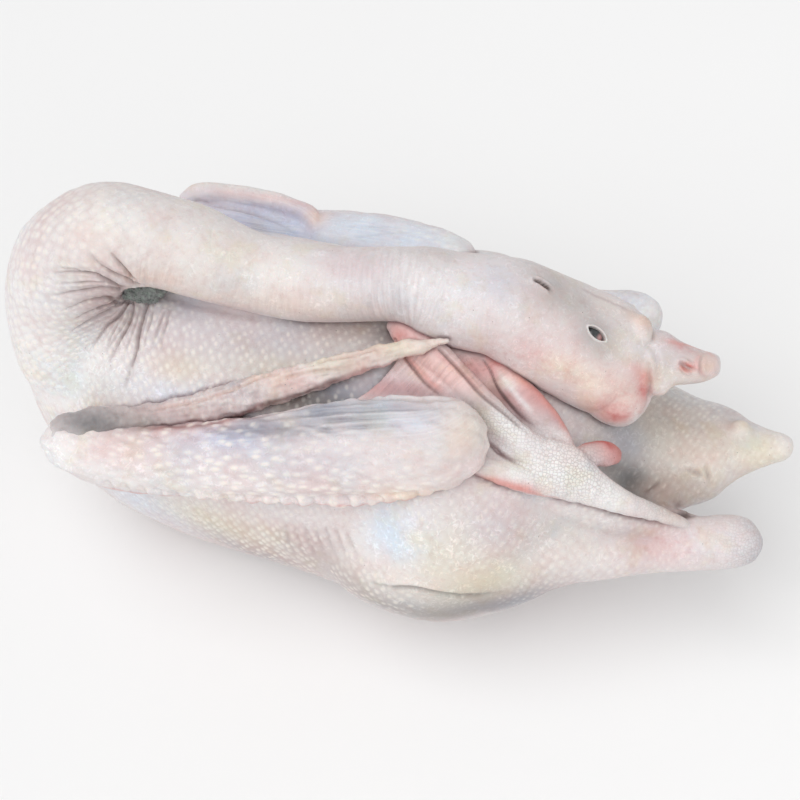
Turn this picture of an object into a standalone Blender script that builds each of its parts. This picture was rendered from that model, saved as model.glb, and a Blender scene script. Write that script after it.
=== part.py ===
"""A whole plucked goose lying on its breast, with the neck folded back along the back.

Units are metres and +Z is up. +X points to the tail, and the near side is -Y.
The origin lies on the flat spot under the breast that the bird rests on.
Each limb is a loft of rounded sections along a smooth line. A voxel remesh grows
the limbs into one skin, which is then thinned to flat facets and cut level at the base.
"""

import math

import bmesh
import bpy
from mathutils import Vector

# Driving dimensions
BACK_TOP = 0.146
BELLY_HALF_WIDTH = 0.097
NECK_RADIUS = 0.0178
HEAD_HALF_DEPTH = 0.0265
HEAD_ROLL = -40
SHANK_RADIUS = 0.0056
TOE_RADIUS = 0.0056
WEB_HALF_THICKNESS = 0.0016
WING_HALF_WIDTH = 0.021

# Folds that fan out from the bend of the neck, in degrees round an axis across the bird
BEND_X = -0.117
BEND_Z = 0.150
FAN_START = 95
FAN_SPREAD = 215
FAN_FOLDS = 12
FAN_REACH = 0.048
FAN_HALF_WIDTH = 0.046
FOLD_DEPTH = 0.0026
FAN_SMOOTH_HALF_WIDTH = 0.010

# The block under the bird that its base is cut level with
GROUND_LENGTH = 0.6
GROUND_WIDTH = 0.4
GROUND_DEPTH = 0.05

# Facets
SKIN_VOXEL = 0.0022
SKIN_FACETS = 11800
RING_SIDES = 28
STEPS_PER_SPAN = 6

UP = Vector((0, 0, 1))
ACROSS = Vector((0, 1, 0))


def clear_scene():
    """Empties the scene that the script is started in."""
    for thing in list(bpy.data.objects):
        bpy.data.objects.remove(thing, do_unlink=True)


def spline_value(rows, knots, span, t):
    """One point of a cubic through rows, where knots are their distances along the line."""

    def slope(i):
        lo = max(i - 1, 0)
        hi = min(i + 1, len(rows) - 1)
        width = knots[hi] - knots[lo]
        return [(b - a) / width for a, b in zip(rows[lo], rows[hi])]

    width = knots[span + 1] - knots[span]
    h00 = 2 * t**3 - 3 * t**2 + 1
    h10 = t**3 - 2 * t**2 + t
    h01 = 3 * t**2 - 2 * t**3
    h11 = t**3 - t**2
    parts = zip(rows[span], slope(span), rows[span + 1], slope(span + 1))
    return [h00 * a + h10 * width * da + h01 * b + h11 * width * db for a, da, b, db in parts]


def smooth_stations(stations):
    """Extra stations between the given ones, on a smooth curve through them."""
    knots = [0.0]
    for a, b in zip(stations, stations[1:]):
        knots.append(knots[-1] + max((Vector(b[:3]) - Vector(a[:3])).length, 1e-4))
    rows = []
    for span in range(len(stations) - 1):
        for step in range(STEPS_PER_SPAN):
            rows.append(spline_value(stations, knots, span, step / STEPS_PER_SPAN))
    rows.append(list(stations[-1]))
    return rows


def loft(name, stations, up=UP, sides=RING_SIDES, upright=False):
    """A closed limb. A station is x, y, z, half width, half depth above and below, and a twist in degrees.

    With upright the sections stay square to X, as on the trunk, and otherwise they turn with the line.
    """
    rows = smooth_stations(stations)
    centres = [Vector(row[:3]) for row in rows]
    mesh = bmesh.new()
    rings = []
    for i, row in enumerate(rows):
        ahead = centres[min(i + 1, len(rows) - 1)] - centres[max(i - 1, 0)]
        ahead = Vector((1, 0, 0)) if upright else ahead.normalized()
        side = ahead.cross(up).normalized()
        top = side.cross(ahead).normalized()
        half_width, above, below, twist = row[3:7]
        turn = math.radians(twist)
        across = side * math.cos(turn) + top * math.sin(turn)
        over = top * math.cos(turn) - side * math.sin(turn)
        ring = []
        for k in range(sides):
            angle = math.tau * k / sides
            depth = above if math.sin(angle) > 0 else below
            offset = across * half_width * math.cos(angle) + over * depth * math.sin(angle)
            ring.append(mesh.verts.new(centres[i] + offset))
        rings.append(ring)
    for a, b in zip(rings, rings[1:]):
        for k in range(sides):
            mesh.faces.new((a[k], a[(k + 1) % sides], b[(k + 1) % sides], b[k]))
    mesh.faces.new(rings[0][::-1])
    mesh.faces.new(rings[-1])
    bmesh.ops.recalc_face_normals(mesh, faces=mesh.faces)
    return add_object(name, mesh)


def add_object(name, mesh):
    """Links a bmesh to the scene as an object."""
    data = bpy.data.meshes.new(name)
    mesh.to_mesh(data)
    mesh.free()
    thing = bpy.data.objects.new(name, data)
    bpy.context.scene.collection.objects.link(thing)
    return thing


def trunk():
    """Breast, belly, back and rump, running out into the tail."""
    w = BELLY_HALF_WIDTH
    stations = [
        (-0.180, 0, 0.112, 0.012, 0.014, 0.016, 0),
        (-0.166, 0, 0.092, 0.034, 0.034, 0.046, 0),
        (-0.140, 0, 0.076, 0.051, 0.064, 0.064, 0),
        (-0.100, 0, 0.070, 0.064, 0.079, 0.071, 0),
        (-0.050, 0, 0.069, 0.076, BACK_TOP - 0.071, 0.071, 0),
        (0.000, 0, 0.067, w - 0.010, BACK_TOP - 0.067, 0.069, 0),
        (0.030, 0, 0.066, w, BACK_TOP - 0.069, 0.068, 0),
        (0.062, 0, 0.067, w - 0.011, 0.066, 0.063, 0),
        (0.093, 0, 0.071, 0.058, 0.044, 0.047, 0),
        (0.118, 0, 0.073, 0.040, 0.027, 0.032, 0),
        (0.138, 0, 0.076, 0.029, 0.0185, 0.022, 0),
        (0.150, 0, 0.0795, 0.025, 0.0155, 0.018, 0),
        (0.157, 0.001, 0.082, 0.0185, 0.0125, 0.014, 0),
        (0.164, 0, 0.084, 0.013, 0.0095, 0.010, 0),
        (0.173, 0, 0.086, 0.0088, 0.0075, 0.0075, 0),
        (0.180, 0, 0.088, 0.0062, 0.0055, 0.0055, 0),
        (0.1833, 0, 0.0885, 0.0035, 0.003, 0.003, 0),
    ]
    gland = [
        (0.150, 0.001, 0.088, 0.006, 0.006, 0.006, 0),
        (0.158, 0.002, 0.0925, 0.0056, 0.005, 0.005, 0),
        (0.164, 0.001, 0.0895, 0.004, 0.004, 0.004, 0),
    ]
    return [loft("trunk", stations, sides=48, upright=True), loft("oil_gland", gland)]


def neck_and_head():
    """The neck rises from the breast, folds over and lies along the back with the throat up.

    The head is rolled by HEAD_ROLL, so its left cheek faces up and to the near side.
    """
    r = NECK_RADIUS
    h = HEAD_HALF_DEPTH
    roll = HEAD_ROLL
    neck = [
        (-0.128, 0, 0.075, 0.038, 0.040, 0.040, 0),
        (-0.148, 0, 0.108, 0.035, 0.041, 0.041, 0),
        (-0.153, 0, 0.135, 0.030, 0.033, 0.033, 0),
        (-0.1445, 0, 0.158, 0.0275, 0.029, 0.029, 0),
        (-0.126, 0, 0.1715, 0.0235, 0.025, 0.025, 0),
        (-0.108, 0, 0.172, 0.021, 0.021, 0.021, 0),
        (-0.088, 0, 0.167, r + 0.002, r + 0.002, r + 0.002, 0),
        (-0.067, 0, 0.160, r, r, r, 0),
        (-0.045, 0, 0.158, r, r, r, 0),
        (-0.022, 0, 0.160, r - 0.001, r - 0.001, r - 0.001, 0),
        (0.000, 0, 0.164, r - 0.001, r - 0.001, r - 0.001, roll),
        (0.012, 0, 0.164, r, r + 0.001, r + 0.002, roll),
        (0.023, 0, 0.160, r + 0.001, h - 0.006, h - 0.005, roll),
        (0.045, 0, 0.158, 0.019, h - 0.005, h - 0.004, roll),
        (0.065, 0, 0.149, 0.020, h - 0.002, h - 0.001, roll),
        (0.087, 0, 0.138, 0.020, h, h, roll),
        (0.099, 0, 0.133, 0.018, h - 0.003, h - 0.001, roll),
        (0.110, 0, 0.128, 0.013, 0.017, 0.018, roll),
        (0.116, 0, 0.126, 0.006, 0.008, 0.008, roll),
    ]
    bill = [
        (0.098, 0, 0.136, 0.010, 0.010, 0.010, roll),
        (0.112, 0, 0.136, 0.011, 0.0135, 0.0145, roll),
        (0.118, 0, 0.136, 0.011, 0.0136, 0.0154, roll),
        (0.1215, 0, 0.136, 0.0105, 0.0122, 0.0144, roll),
        (0.1242, 0, 0.136, 0.010, 0.0108, 0.0102, roll),
        (0.1305, 0, 0.136, 0.0092, 0.0086, 0.0086, roll),
        (0.136, 0, 0.136, 0.0084, 0.0074, 0.007, roll),
        (0.141, 0, 0.1365, 0.0074, 0.0064, 0.0044, roll),
        (0.1436, 0, 0.137, 0.005, 0.005, 0.0024, roll),
    ]
    knob = [
        (0.083, -0.005, 0.130, 0.009, 0.009, 0.009, roll),
        (0.093, -0.008, 0.126, 0.013, 0.014, 0.014, roll),
        (0.103, -0.009, 0.122, 0.014, 0.016, 0.016, roll),
        (0.111, -0.009, 0.120, 0.010, 0.012, 0.012, roll),
        (0.115, -0.009, 0.119, 0.004, 0.005, 0.005, roll),
    ]
    jaw_corner = [
        (0.101, 0.008, 0.1495, 0.004, 0.004, 0.004, 0),
        (0.106, 0.0065, 0.1505, 0.0054, 0.0054, 0.0054, 0),
        (0.1076, 0.0025, 0.1485, 0.005, 0.005, 0.005, 0),
        (0.1076, -0.0015, 0.145, 0.0035, 0.0035, 0.0035, 0),
    ]
    return [
        loft("neck", neck, up=ACROSS, sides=32),
        loft("bill", bill, up=ACROSS),
        loft("knob", knob, up=ACROSS),
        loft("jaw_corner", jaw_corner),
    ]


def near_leg():
    """Thigh, drumstick and hock, with the shank folded back over them and the foot on the flank."""
    leg = [
        (-0.020, -0.060, 0.066, 0.018, 0.020, 0.020, 0),
        (0.004, -0.066, 0.062, 0.028, 0.030, 0.030, 0),
        (0.026, -0.068, 0.062, 0.030, 0.032, 0.032, 0),
        (0.048, -0.065, 0.063, 0.027, 0.030, 0.030, 0),
        (0.066, -0.061, 0.065, 0.023, 0.026, 0.026, 0),
        (0.084, -0.058, 0.067, 0.018, 0.020, 0.020, 0),
        (0.102, -0.054, 0.065, 0.0145, 0.015, 0.015, 0),
        (0.125, -0.048, 0.062, 0.0118, 0.012, 0.012, 0),
        (0.146, -0.044, 0.064, 0.0122, 0.0125, 0.0125, 0),
        (0.161, -0.041, 0.066, 0.0125, 0.013, 0.013, 0),
        (0.170, -0.040, 0.067, 0.0095, 0.010, 0.010, 0),
        (0.174, -0.039, 0.067, 0.003, 0.003, 0.003, 0),
    ]
    flank_fold = [
        (0.066, -0.052, 0.102, 0.008, 0.008, 0.008, 0),
        (0.080, -0.050, 0.098, 0.012, 0.012, 0.012, 0),
        (0.097, -0.048, 0.089, 0.012, 0.012, 0.012, 0),
        (0.114, -0.046, 0.081, 0.010, 0.010, 0.010, 0),
        (0.132, -0.042, 0.073, 0.008, 0.008, 0.008, 0),
        (0.150, -0.040, 0.070, 0.005, 0.005, 0.005, 0),
    ]
    s = SHANK_RADIUS
    shank = [
        (0.146, -0.041, 0.070, 0.0035, 0.0035, 0.0035, 50),
        (0.137, -0.0425, 0.078, 0.0038, 0.0038, 0.0038, 50),
        (0.126, -0.044, 0.086, 0.0052, 0.005, 0.005, 50),
        (0.110, -0.049, 0.098, s + 0.002, s, s, 50),
        (0.096, -0.052, 0.107, 0.0105, s, s, 50),
        (0.082, -0.052, 0.114, 0.0125, s + 0.001, s, 50),
        (0.070, -0.051, 0.120, 0.010, s, s, 50),
    ]
    middle_toe = toe_stations(
        [
            (0.090, -0.050, 0.109),
            (0.080, -0.051, 0.115),
            (0.067, -0.049, 0.122),
            (0.055, -0.044, 0.128),
            (0.043, -0.037, 0.135),
            (0.030, -0.029, 0.141),
            (0.018, -0.022, 0.146),
            (0.006, -0.014, 0.149),
            (0.000, -0.008, 0.150),
        ],
        [0.6, 1.3, 1.35, 1.2, 1.1, 1.1, 1.2, 1.15, 1.0],
    )
    inner_toe = toe_stations(
        [
            (0.084, -0.044, 0.1145),
            (0.0776, -0.037, 0.1195),
            (0.0718, -0.033, 0.1235),
            (0.0648, -0.0296, 0.128),
            (0.0585, -0.0264, 0.1325),
            (0.0507, -0.0212, 0.1375),
            (0.0435, -0.0137, 0.141),
            (0.037, -0.008, 0.142),
        ],
        [0.8, 0.9, 1.1, 1.25, 1.2, 1.0, 0.8, 0.6],
    )
    outer_toe = toe_stations(
        [
            (0.092, -0.053, 0.106),
            (0.083, -0.056, 0.111),
            (0.070, -0.060, 0.114),
            (0.055, -0.061, 0.119),
            (0.036, -0.060, 0.123),
        ],
        [0.5, 1.1, 1.0, 0.95, 0.8],
    )
    hind_toe = toe_stations(
        [
            (0.084, -0.046, 0.114),
            (0.092, -0.041, 0.115),
            (0.099, -0.038, 0.113),
            (0.104, -0.036, 0.110),
        ],
        [0.8, 1.1, 1.2, 0.75],
    )
    web = [
        (0.074, -0.042, 0.120, 0.003, WEB_HALF_THICKNESS, WEB_HALF_THICKNESS, 50),
        (0.055, -0.031, 0.131, 0.009, WEB_HALF_THICKNESS, WEB_HALF_THICKNESS, 40),
        (0.036, -0.020, 0.140, 0.015, WEB_HALF_THICKNESS, WEB_HALF_THICKNESS, 30),
        (0.024, -0.012, 0.144, 0.018, WEB_HALF_THICKNESS, WEB_HALF_THICKNESS, 20),
    ]
    outer_web = [
        (0.066, -0.054, 0.119, 0.003, WEB_HALF_THICKNESS, WEB_HALF_THICKNESS, 50),
        (0.045, -0.047, 0.128, 0.010, WEB_HALF_THICKNESS, WEB_HALF_THICKNESS, 45),
        (0.022, -0.036, 0.138, 0.015, WEB_HALF_THICKNESS, WEB_HALF_THICKNESS, 40),
        (0.006, -0.028, 0.143, 0.015, WEB_HALF_THICKNESS, WEB_HALF_THICKNESS, 35),
    ]
    return [
        loft("near_drumstick", leg),
        loft("near_flank_fold", flank_fold),
        loft("near_shank", shank),
        loft("near_middle_toe", middle_toe),
        loft("near_inner_toe", inner_toe),
        loft("near_outer_toe", outer_toe),
        loft("near_hind_toe", hind_toe),
        loft("near_inner_web", web),
        loft("near_outer_web", outer_web),
    ]


def toe_stations(points, sizes, tilt=45):
    """Stations of a toe, wider than deep, where a size of one is TOE_RADIUS."""
    t = TOE_RADIUS
    return [(*p, t * k, t * 0.85 * k, t * 0.85 * k, tilt) for p, k in zip(points, sizes)]


def near_wing():
    """The wing folded on the near flank: wrist in front, elbow behind, hand laid along the top."""
    w = WING_HALF_WIDTH
    forearm = [
        (-0.150, -0.062, 0.101, 0.006, 0.006, 0.006, -65),
        (-0.143, -0.066, 0.102, 0.010, 0.009, 0.010, -65),
        (-0.128, -0.067, 0.100, 0.014, 0.011, 0.012, -62),
        (-0.102, -0.068, 0.102, w - 0.005, 0.012, 0.015, -60),
        (-0.055, -0.068, 0.114, w - 0.003, 0.012, 0.015, -52),
        (-0.010, -0.066, 0.128, w - 0.0005, 0.012, 0.015, -46),
        (0.020, -0.063, 0.133, w, 0.012, 0.014, -44),
        (0.034, -0.060, 0.135, w - 0.002, 0.011, 0.013, -42),
        (0.044, -0.058, 0.136, 0.013, 0.008, 0.010, -42),
        (0.048, -0.057, 0.136, 0.006, 0.004, 0.005, -42),
    ]
    hand = [
        (-0.146, -0.064, 0.106, 0.007, 0.006, 0.006, -60),
        (-0.130, -0.060, 0.111, 0.008, 0.006, 0.006, -60),
        (-0.107, -0.056, 0.113, 0.008, 0.006, 0.006, -55),
        (-0.081, -0.052, 0.122, 0.008, 0.0055, 0.0055, -50),
        (-0.058, -0.047, 0.132, 0.0078, 0.005, 0.005, -45),
        (-0.037, -0.041, 0.139, 0.0069, 0.0046, 0.0046, -40),
        (-0.017, -0.0335, 0.1445, 0.0057, 0.004, 0.004, -35),
        (0.0042, -0.0268, 0.151, 0.0044, 0.0033, 0.0033, -35),
        (0.0154, -0.0248, 0.1545, 0.0034, 0.0026, 0.0026, -35),
        (0.0243, -0.022, 0.156, 0.0018, 0.0016, 0.0016, -35),
    ]
    return [loft("near_forearm", forearm), loft("near_hand", hand)]


def far_wing():
    """The far wing, with its rim raised round a hollow of thin skin."""
    forearm = [
        (-0.119, 0.068, 0.120, 0.008, 0.006, 0.010, -15),
        (-0.108, 0.062, 0.122, 0.013, 0.006, 0.016, -15),
        (-0.080, 0.061, 0.122, 0.016, 0.006, 0.020, -15),
        (-0.058, 0.061, 0.121, 0.016, 0.007, 0.020, -15),
        (-0.045, 0.061, 0.121, 0.017, 0.011, 0.020, -15),
        (-0.020, 0.061, 0.121, 0.018, 0.0115, 0.020, -15),
        (0.000, 0.059, 0.121, 0.017, 0.011, 0.020, -15),
        (0.012, 0.058, 0.120, 0.0155, 0.012, 0.018, -15),
        (0.021, 0.057, 0.117, 0.012, 0.0105, 0.014, -15),
        (0.027, 0.057, 0.115, 0.004, 0.003, 0.005, -15),
    ]
    rim = [
        (-0.118, 0.070, 0.127, 0.004, 0.004, 0.004, 0),
        (-0.112, 0.074, 0.130, 0.005, 0.005, 0.005, 0),
        (-0.098, 0.075, 0.131, 0.005, 0.005, 0.005, 0),
        (-0.080, 0.074, 0.131, 0.005, 0.005, 0.005, 0),
        (-0.062, 0.071, 0.130, 0.005, 0.005, 0.005, 0),
        (-0.053, 0.066, 0.128, 0.005, 0.005, 0.005, 0),
        (-0.050, 0.058, 0.125, 0.004, 0.004, 0.004, 0),
        (-0.049, 0.050, 0.124, 0.003, 0.003, 0.003, 0),
    ]
    hand = [
        (-0.108, 0.060, 0.120, 0.006, 0.005, 0.005, 50),
        (-0.080, 0.050, 0.128, 0.006, 0.005, 0.005, 45),
        (-0.050, 0.042, 0.136, 0.005, 0.004, 0.004, 40),
        (-0.020, 0.034, 0.141, 0.004, 0.003, 0.003, 35),
        (0.004, 0.026, 0.145, 0.0015, 0.0015, 0.0015, 35),
    ]
    return [
        loft("far_forearm", forearm),
        loft("far_wing_rim", rim, up=Vector((0, -0.6, 0.8))),
        loft("far_hand", hand),
    ]


def far_leg():
    """The far leg is drawn further forward, so only its hock shows past the head."""
    leg = [
        (-0.050, 0.056, 0.068, 0.018, 0.022, 0.020, 0),
        (-0.020, 0.066, 0.066, 0.028, 0.032, 0.030, 0),
        (0.014, 0.070, 0.067, 0.028, 0.031, 0.032, 0),
        (0.044, 0.072, 0.074, 0.021, 0.023, 0.024, 0),
        (0.068, 0.072, 0.080, 0.015, 0.016, 0.016, 0),
        (0.088, 0.071, 0.084, 0.012, 0.0125, 0.0125, 0),
        (0.104, 0.071, 0.086, 0.0125, 0.0125, 0.0125, 0),
        (0.114, 0.071, 0.086, 0.008, 0.008, 0.008, 0),
        (0.117, 0.071, 0.086, 0.003, 0.003, 0.003, 0),
    ]
    s = SHANK_RADIUS
    shank = [
        (0.106, 0.067, 0.090, s, s, s, -50),
        (0.090, 0.064, 0.098, s, s - 0.0005, s - 0.0005, -50),
        (0.072, 0.059, 0.107, s + 0.001, s, s, -50),
        (0.056, 0.054, 0.116, 0.010, s, s, -50),
        (0.044, 0.050, 0.122, 0.012, s, s, -50),
    ]
    middle_toe = toe_stations(
        [
            (0.046, 0.050, 0.121),
            (0.030, 0.044, 0.129),
            (0.014, 0.038, 0.136),
            (-0.002, 0.033, 0.141),
            (-0.018, 0.027, 0.144),
            (-0.030, 0.023, 0.145),
        ],
        [1.3, 1.2, 1.1, 1.1, 1.0, 0.6],
        -45,
    )
    inner_toe = toe_stations(
        [
            (0.048, 0.046, 0.123),
            (0.036, 0.036, 0.132),
            (0.022, 0.028, 0.139),
            (0.008, 0.022, 0.144),
        ],
        [1.1, 1.1, 1.0, 0.7],
        -45,
    )
    return [
        loft("far_drumstick", leg),
        loft("far_shank", shank),
        loft("far_middle_toe", middle_toe),
        loft("far_inner_toe", inner_toe),
    ]


def all_limbs():
    """Every limb of the bird, still apart."""
    limbs = trunk() + neck_and_head()
    limbs += near_leg() + far_leg()
    limbs += near_wing() + far_wing()
    return limbs


def fuse(limbs, voxel, name):
    """Grows overlapping limbs into one closed skin."""
    whole = bmesh.new()
    for limb in limbs:
        whole.from_mesh(limb.data)
        bpy.data.objects.remove(limb, do_unlink=True)
    skin = add_object(name, whole)
    grow = skin.modifiers.new("one skin", "REMESH")
    grow.mode = "VOXEL"
    grow.voxel_size = voxel
    even = skin.modifiers.new("even", "SMOOTH")
    even.factor = 0.5
    even.iterations = 2
    return skin


def fold_relief(skin):
    """Presses the folds that fan out from the bend of the neck into both its sides."""
    apply_modifiers(skin)
    for vertex, normal in [(v, v.normal.copy()) for v in skin.data.vertices]:
        out = vertex.co.x - BEND_X
        lift = vertex.co.z - BEND_Z
        reach = math.hypot(out, lift) / FAN_REACH
        turn = (math.degrees(math.atan2(lift, out)) % 360 - FAN_START) / FAN_SPREAD
        if not 0 < turn < 1 or reach > 1 or abs(vertex.co.y) > FAN_HALF_WIDTH:
            continue
        wave = 0.5 + 0.5 * math.cos(math.tau * FAN_FOLDS * turn)
        fade = math.sin(math.pi * turn) ** 0.5 * math.sin(math.pi * reach)
        from_middle = min(1.0, abs(vertex.co.y) / FAN_SMOOTH_HALF_WIDTH)
        vertex.co -= normal * FOLD_DEPTH * wave * fade * from_middle


def thin_facets(skin, facets):
    """Thins a voxel skin to about a number of triangles, as a plain mesh."""
    apply_modifiers(skin)
    skin.data.calc_loop_triangles()
    thin = skin.modifiers.new("thin", "DECIMATE")
    thin.ratio = facets / len(skin.data.loop_triangles)
    thin.use_collapse_triangulate = True
    apply_modifiers(skin)


def apply_modifiers(thing):
    """Turns the modified shape into the object's own mesh."""
    graph = bpy.context.evaluated_depsgraph_get()
    done = bpy.data.meshes.new_from_object(thing.evaluated_get(graph))
    thing.modifiers.clear()
    thing.data = done


def level_base(skin, collection):
    """Cuts the underside level, so the bird rests on a flat spot at z = 0."""
    slab = bmesh.new()
    bmesh.ops.create_cube(slab, size=1)
    bmesh.ops.scale(slab, vec=(GROUND_LENGTH, GROUND_WIDTH, GROUND_DEPTH), verts=slab.verts)
    bmesh.ops.translate(slab, vec=(0, 0, -GROUND_DEPTH / 2), verts=slab.verts)
    ground = add_object("ground_cutter", slab)
    bpy.context.scene.collection.objects.unlink(ground)
    collection.objects.link(ground)
    ground.hide_render = True
    ground.display_type = "WIRE"
    cut = skin.modifiers.new("level base", "BOOLEAN")
    cut.operation = "DIFFERENCE"
    cut.solver = "EXACT"
    cut.object = ground


def skin_material():
    """Plain plucked skin."""
    material = bpy.data.materials.new("skin")
    material.use_nodes = True
    shader = material.node_tree.nodes["Principled BSDF"]
    shader.inputs["Base Color"].default_value = (0.72, 0.62, 0.56, 1)
    shader.inputs["Roughness"].default_value = 0.5
    return material


def main():
    """Builds the goose."""
    clear_scene()
    parts = bpy.data.collections.new("whole_raw_goose")
    cutters = bpy.data.collections.new("cutters")
    bpy.context.scene.collection.children.link(parts)
    bpy.context.scene.collection.children.link(cutters)
    goose = fuse(all_limbs(), SKIN_VOXEL, "goose")
    fold_relief(goose)
    thin_facets(goose, SKIN_FACETS)
    bpy.context.scene.collection.objects.unlink(goose)
    parts.objects.link(goose)
    goose.data.materials.clear()
    goose.data.materials.append(skin_material())
    level_base(goose, cutters)


if __name__ == "__main__":
    main()
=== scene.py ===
"""Looks for a whole plucked goose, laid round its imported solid.

The bird lies on its breast with the front to -X, the tail to +X and the near side to -Y.
Its skin is grown as the solid was: tapered limbs are fused by a voxel remesh, and then
creases, folds and ridges are pressed into the points. Every point keeps how far along and
how far round its limb it lies, and the follicles, scales and fine folds follow that.
Shapes are written in millimetres and turned to metres where they are made.
"""

import math

import bmesh
import bpy
import numpy as np
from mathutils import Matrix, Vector, bvhtree, kdtree

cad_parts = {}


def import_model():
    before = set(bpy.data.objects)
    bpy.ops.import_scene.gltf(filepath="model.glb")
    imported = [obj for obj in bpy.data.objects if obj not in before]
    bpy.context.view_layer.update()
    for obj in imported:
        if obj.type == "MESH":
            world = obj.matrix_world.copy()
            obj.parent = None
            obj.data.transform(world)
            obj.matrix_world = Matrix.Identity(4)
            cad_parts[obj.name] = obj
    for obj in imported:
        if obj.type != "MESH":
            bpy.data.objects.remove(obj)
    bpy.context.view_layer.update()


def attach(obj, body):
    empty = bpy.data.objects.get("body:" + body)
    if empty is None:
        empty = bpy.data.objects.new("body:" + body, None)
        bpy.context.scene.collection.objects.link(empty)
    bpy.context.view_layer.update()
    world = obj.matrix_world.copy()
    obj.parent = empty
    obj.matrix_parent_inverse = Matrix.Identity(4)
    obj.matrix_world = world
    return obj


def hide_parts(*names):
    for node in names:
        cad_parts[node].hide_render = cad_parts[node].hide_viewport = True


MM = 0.001
UP = (0.0, 0.0, 1.0)
ACROSS = (0.0, 1.0, 0.0)
# Rings between two rows of a limb
STEPS = 8
# The lowest that skin may hang, in metres
FLOOR_GAP = 0.0002

# Camera
VIEW_AZIMUTH = 10
VIEW_ELEVATION = 50
VIEW_DISTANCE = 0.95
VIEW_TARGET = (0.0, 0.0, 0.085)
VIEW_SCALE = 0.00047
SENSOR = 36
FRAME_PIXELS = 800

# Follicles lie in staggered rows, turned by degrees, and are longer round the limb than along it
ROW_TURN = 45
ROUND_STRETCH = 0.76
# How unevenly scales lie, and how far apart dark specks lie in mm
SCALE_SCATTER = 0.6
SPECK_GAP = 2.2

# Wide mottling: noise scale and detail, where it starts and is full, and the share of light it leaves
DRIFTS = [
    (42, 5, 0.44, 0.64, (0.965, 0.885, 0.875)),
    (30, 4, 0.50, 0.66, (0.91, 0.965, 1.0)),
    (57, 4, 0.53, 0.68, (0.965, 0.950, 0.865)),
]
DRIFT_SHARE = 0.80
# Light left by deep flecks, by the hollows between follicles and by pale fibres
FLECK_LIGHT = (0.87, 0.80, 0.79)
MOAT_LIGHT = (0.88, 0.80, 0.79)
FIBRE_LIGHT = (1.30, 1.32, 1.34)

# Painted shade where another piece lies close to the skin: how far off a touch is looked for in metres, how
# fast the shade fades in mm, and the share of red, green and blue light that it takes
CONTACT_SHADE_LIMIT = 0.006
CONTACT_SHADE_REACH = 1.3
CONTACT_SHADE_LOSS = (0.55, 0.64, 0.63)
# Two pieces of one skin get no painted shade where they join: the pieces, and X in mm of no and of full shade
JOINS = [
    ("body_skin", "neck_and_head_skin", -58, -38),
    ("near_wing_skin", "near_wing_hand_skin", -122, -95),
    ("body_skin", "near_foot_skin", 142, 118),
    ("near_wing_skin", "body_skin", -122, -100),
    ("body_skin", "far_foot_skin", 84, 60),
]

# Tones of the skin, as 0 to 255 screen values
TONES = {
    "cream": (238, 233, 227),
    "pale": (237, 235, 236),
    "skin": (227, 220, 220),
    "pink": (230, 208, 206),
    "lilac": (209, 202, 210),
    "lavender": (192, 200, 226),
    "blue_white": (220, 228, 240),
    "blue_grey": (160, 162, 174),
    "grey": (190, 184, 180),
    "dim_grey": (158, 152, 149),
    "beige": (224, 211, 198),
    "fat": (222, 215, 192),
    "peach": (236, 212, 200),
    "rose": (216, 168, 166),
    "salmon": (226, 160, 152),
    "red": (196, 96, 92),
    "horn": (236, 220, 196),
    "dusk": (188, 172, 172),
    # fold is painted shade in creases, clefts and openings, and also the dark lines of scales and fine rings
    "fold": (118, 88, 86),
    "white": (244, 242, 240),
    "dot": (247, 240, 231),
    "sand": (222, 211, 205),
    "frost": (222, 224, 223),
    "slate": (104, 108, 111),
    "slate_blue": (122, 132, 150),
    "shade": (82, 76, 74),
    "clay": (194, 188, 176),
    "tan": (214, 190, 178),
    "coral": (240, 200, 194),
    "mauve": (176, 140, 144),
    "drab": (174, 160, 147),
    "speck": (96, 74, 66),
}


# Numbers


def tone(name):
    """A named tone as linear colour."""
    values = np.array(TONES[name]) / 255
    return np.where(values <= 0.04045, values / 12.92, ((values + 0.055) / 1.055) ** 2.4)


def unit(v):
    """Vectors scaled to a length of one."""
    return v / np.maximum(np.linalg.norm(v, axis=-1, keepdims=True), 1e-12)


def smoothstep(value, low, high):
    """0 below low, 1 above high, and a soft step between."""
    t = np.clip((value - low) / (high - low), 0, 1)
    return t * t * (3 - 2 * t)


def smooth_rows(rows, steps):
    """Rows with extra ones between them, on a cubic through the given ones."""
    rows = np.array(rows, float)
    gaps = np.maximum(np.linalg.norm(np.diff(rows[:, :3], axis=0), axis=1), 1e-4)
    knots = np.concatenate([[0], np.cumsum(gaps)])
    before = np.maximum(np.arange(len(rows)) - 1, 0)
    after = np.minimum(np.arange(len(rows)) + 1, len(rows) - 1)
    slope = (rows[after] - rows[before]) / (knots[after] - knots[before])[:, None]
    t = (np.arange(steps) / steps)[None, :, None]
    a, b = rows[:-1, None], rows[1:, None]
    wide = gaps[:, None, None]
    start = (2 * t**3 - 3 * t**2 + 1) * a + (t**3 - 2 * t**2 + t) * wide * slope[:-1, None]
    end = (3 * t**2 - 2 * t**3) * b + (t**3 - t**2) * wide * slope[1:, None]
    return np.vstack([(start + end).reshape(-1, rows.shape[1]), rows[-1]])


def lumps(points, size, seed):
    """Soft random unevenness between about -1 and 1, with lumps of a size in mm."""
    rng = np.random.default_rng(seed)
    total = np.zeros(len(points))
    for _ in range(7):
        direction = unit(rng.normal(size=3))
        rate = math.tau / (size * MM) * rng.uniform(0.7, 1.4)
        total += np.sin(points @ direction * rate + rng.uniform(0, math.tau))
    return total / 3.2


def sight():
    """The direction from the bird to the camera."""
    azimuth, elevation = math.radians(VIEW_AZIMUTH), math.radians(VIEW_ELEVATION)
    flat = math.cos(elevation)
    return np.array([math.sin(azimuth) * flat, -math.cos(azimuth) * flat, math.sin(elevation)])


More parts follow.
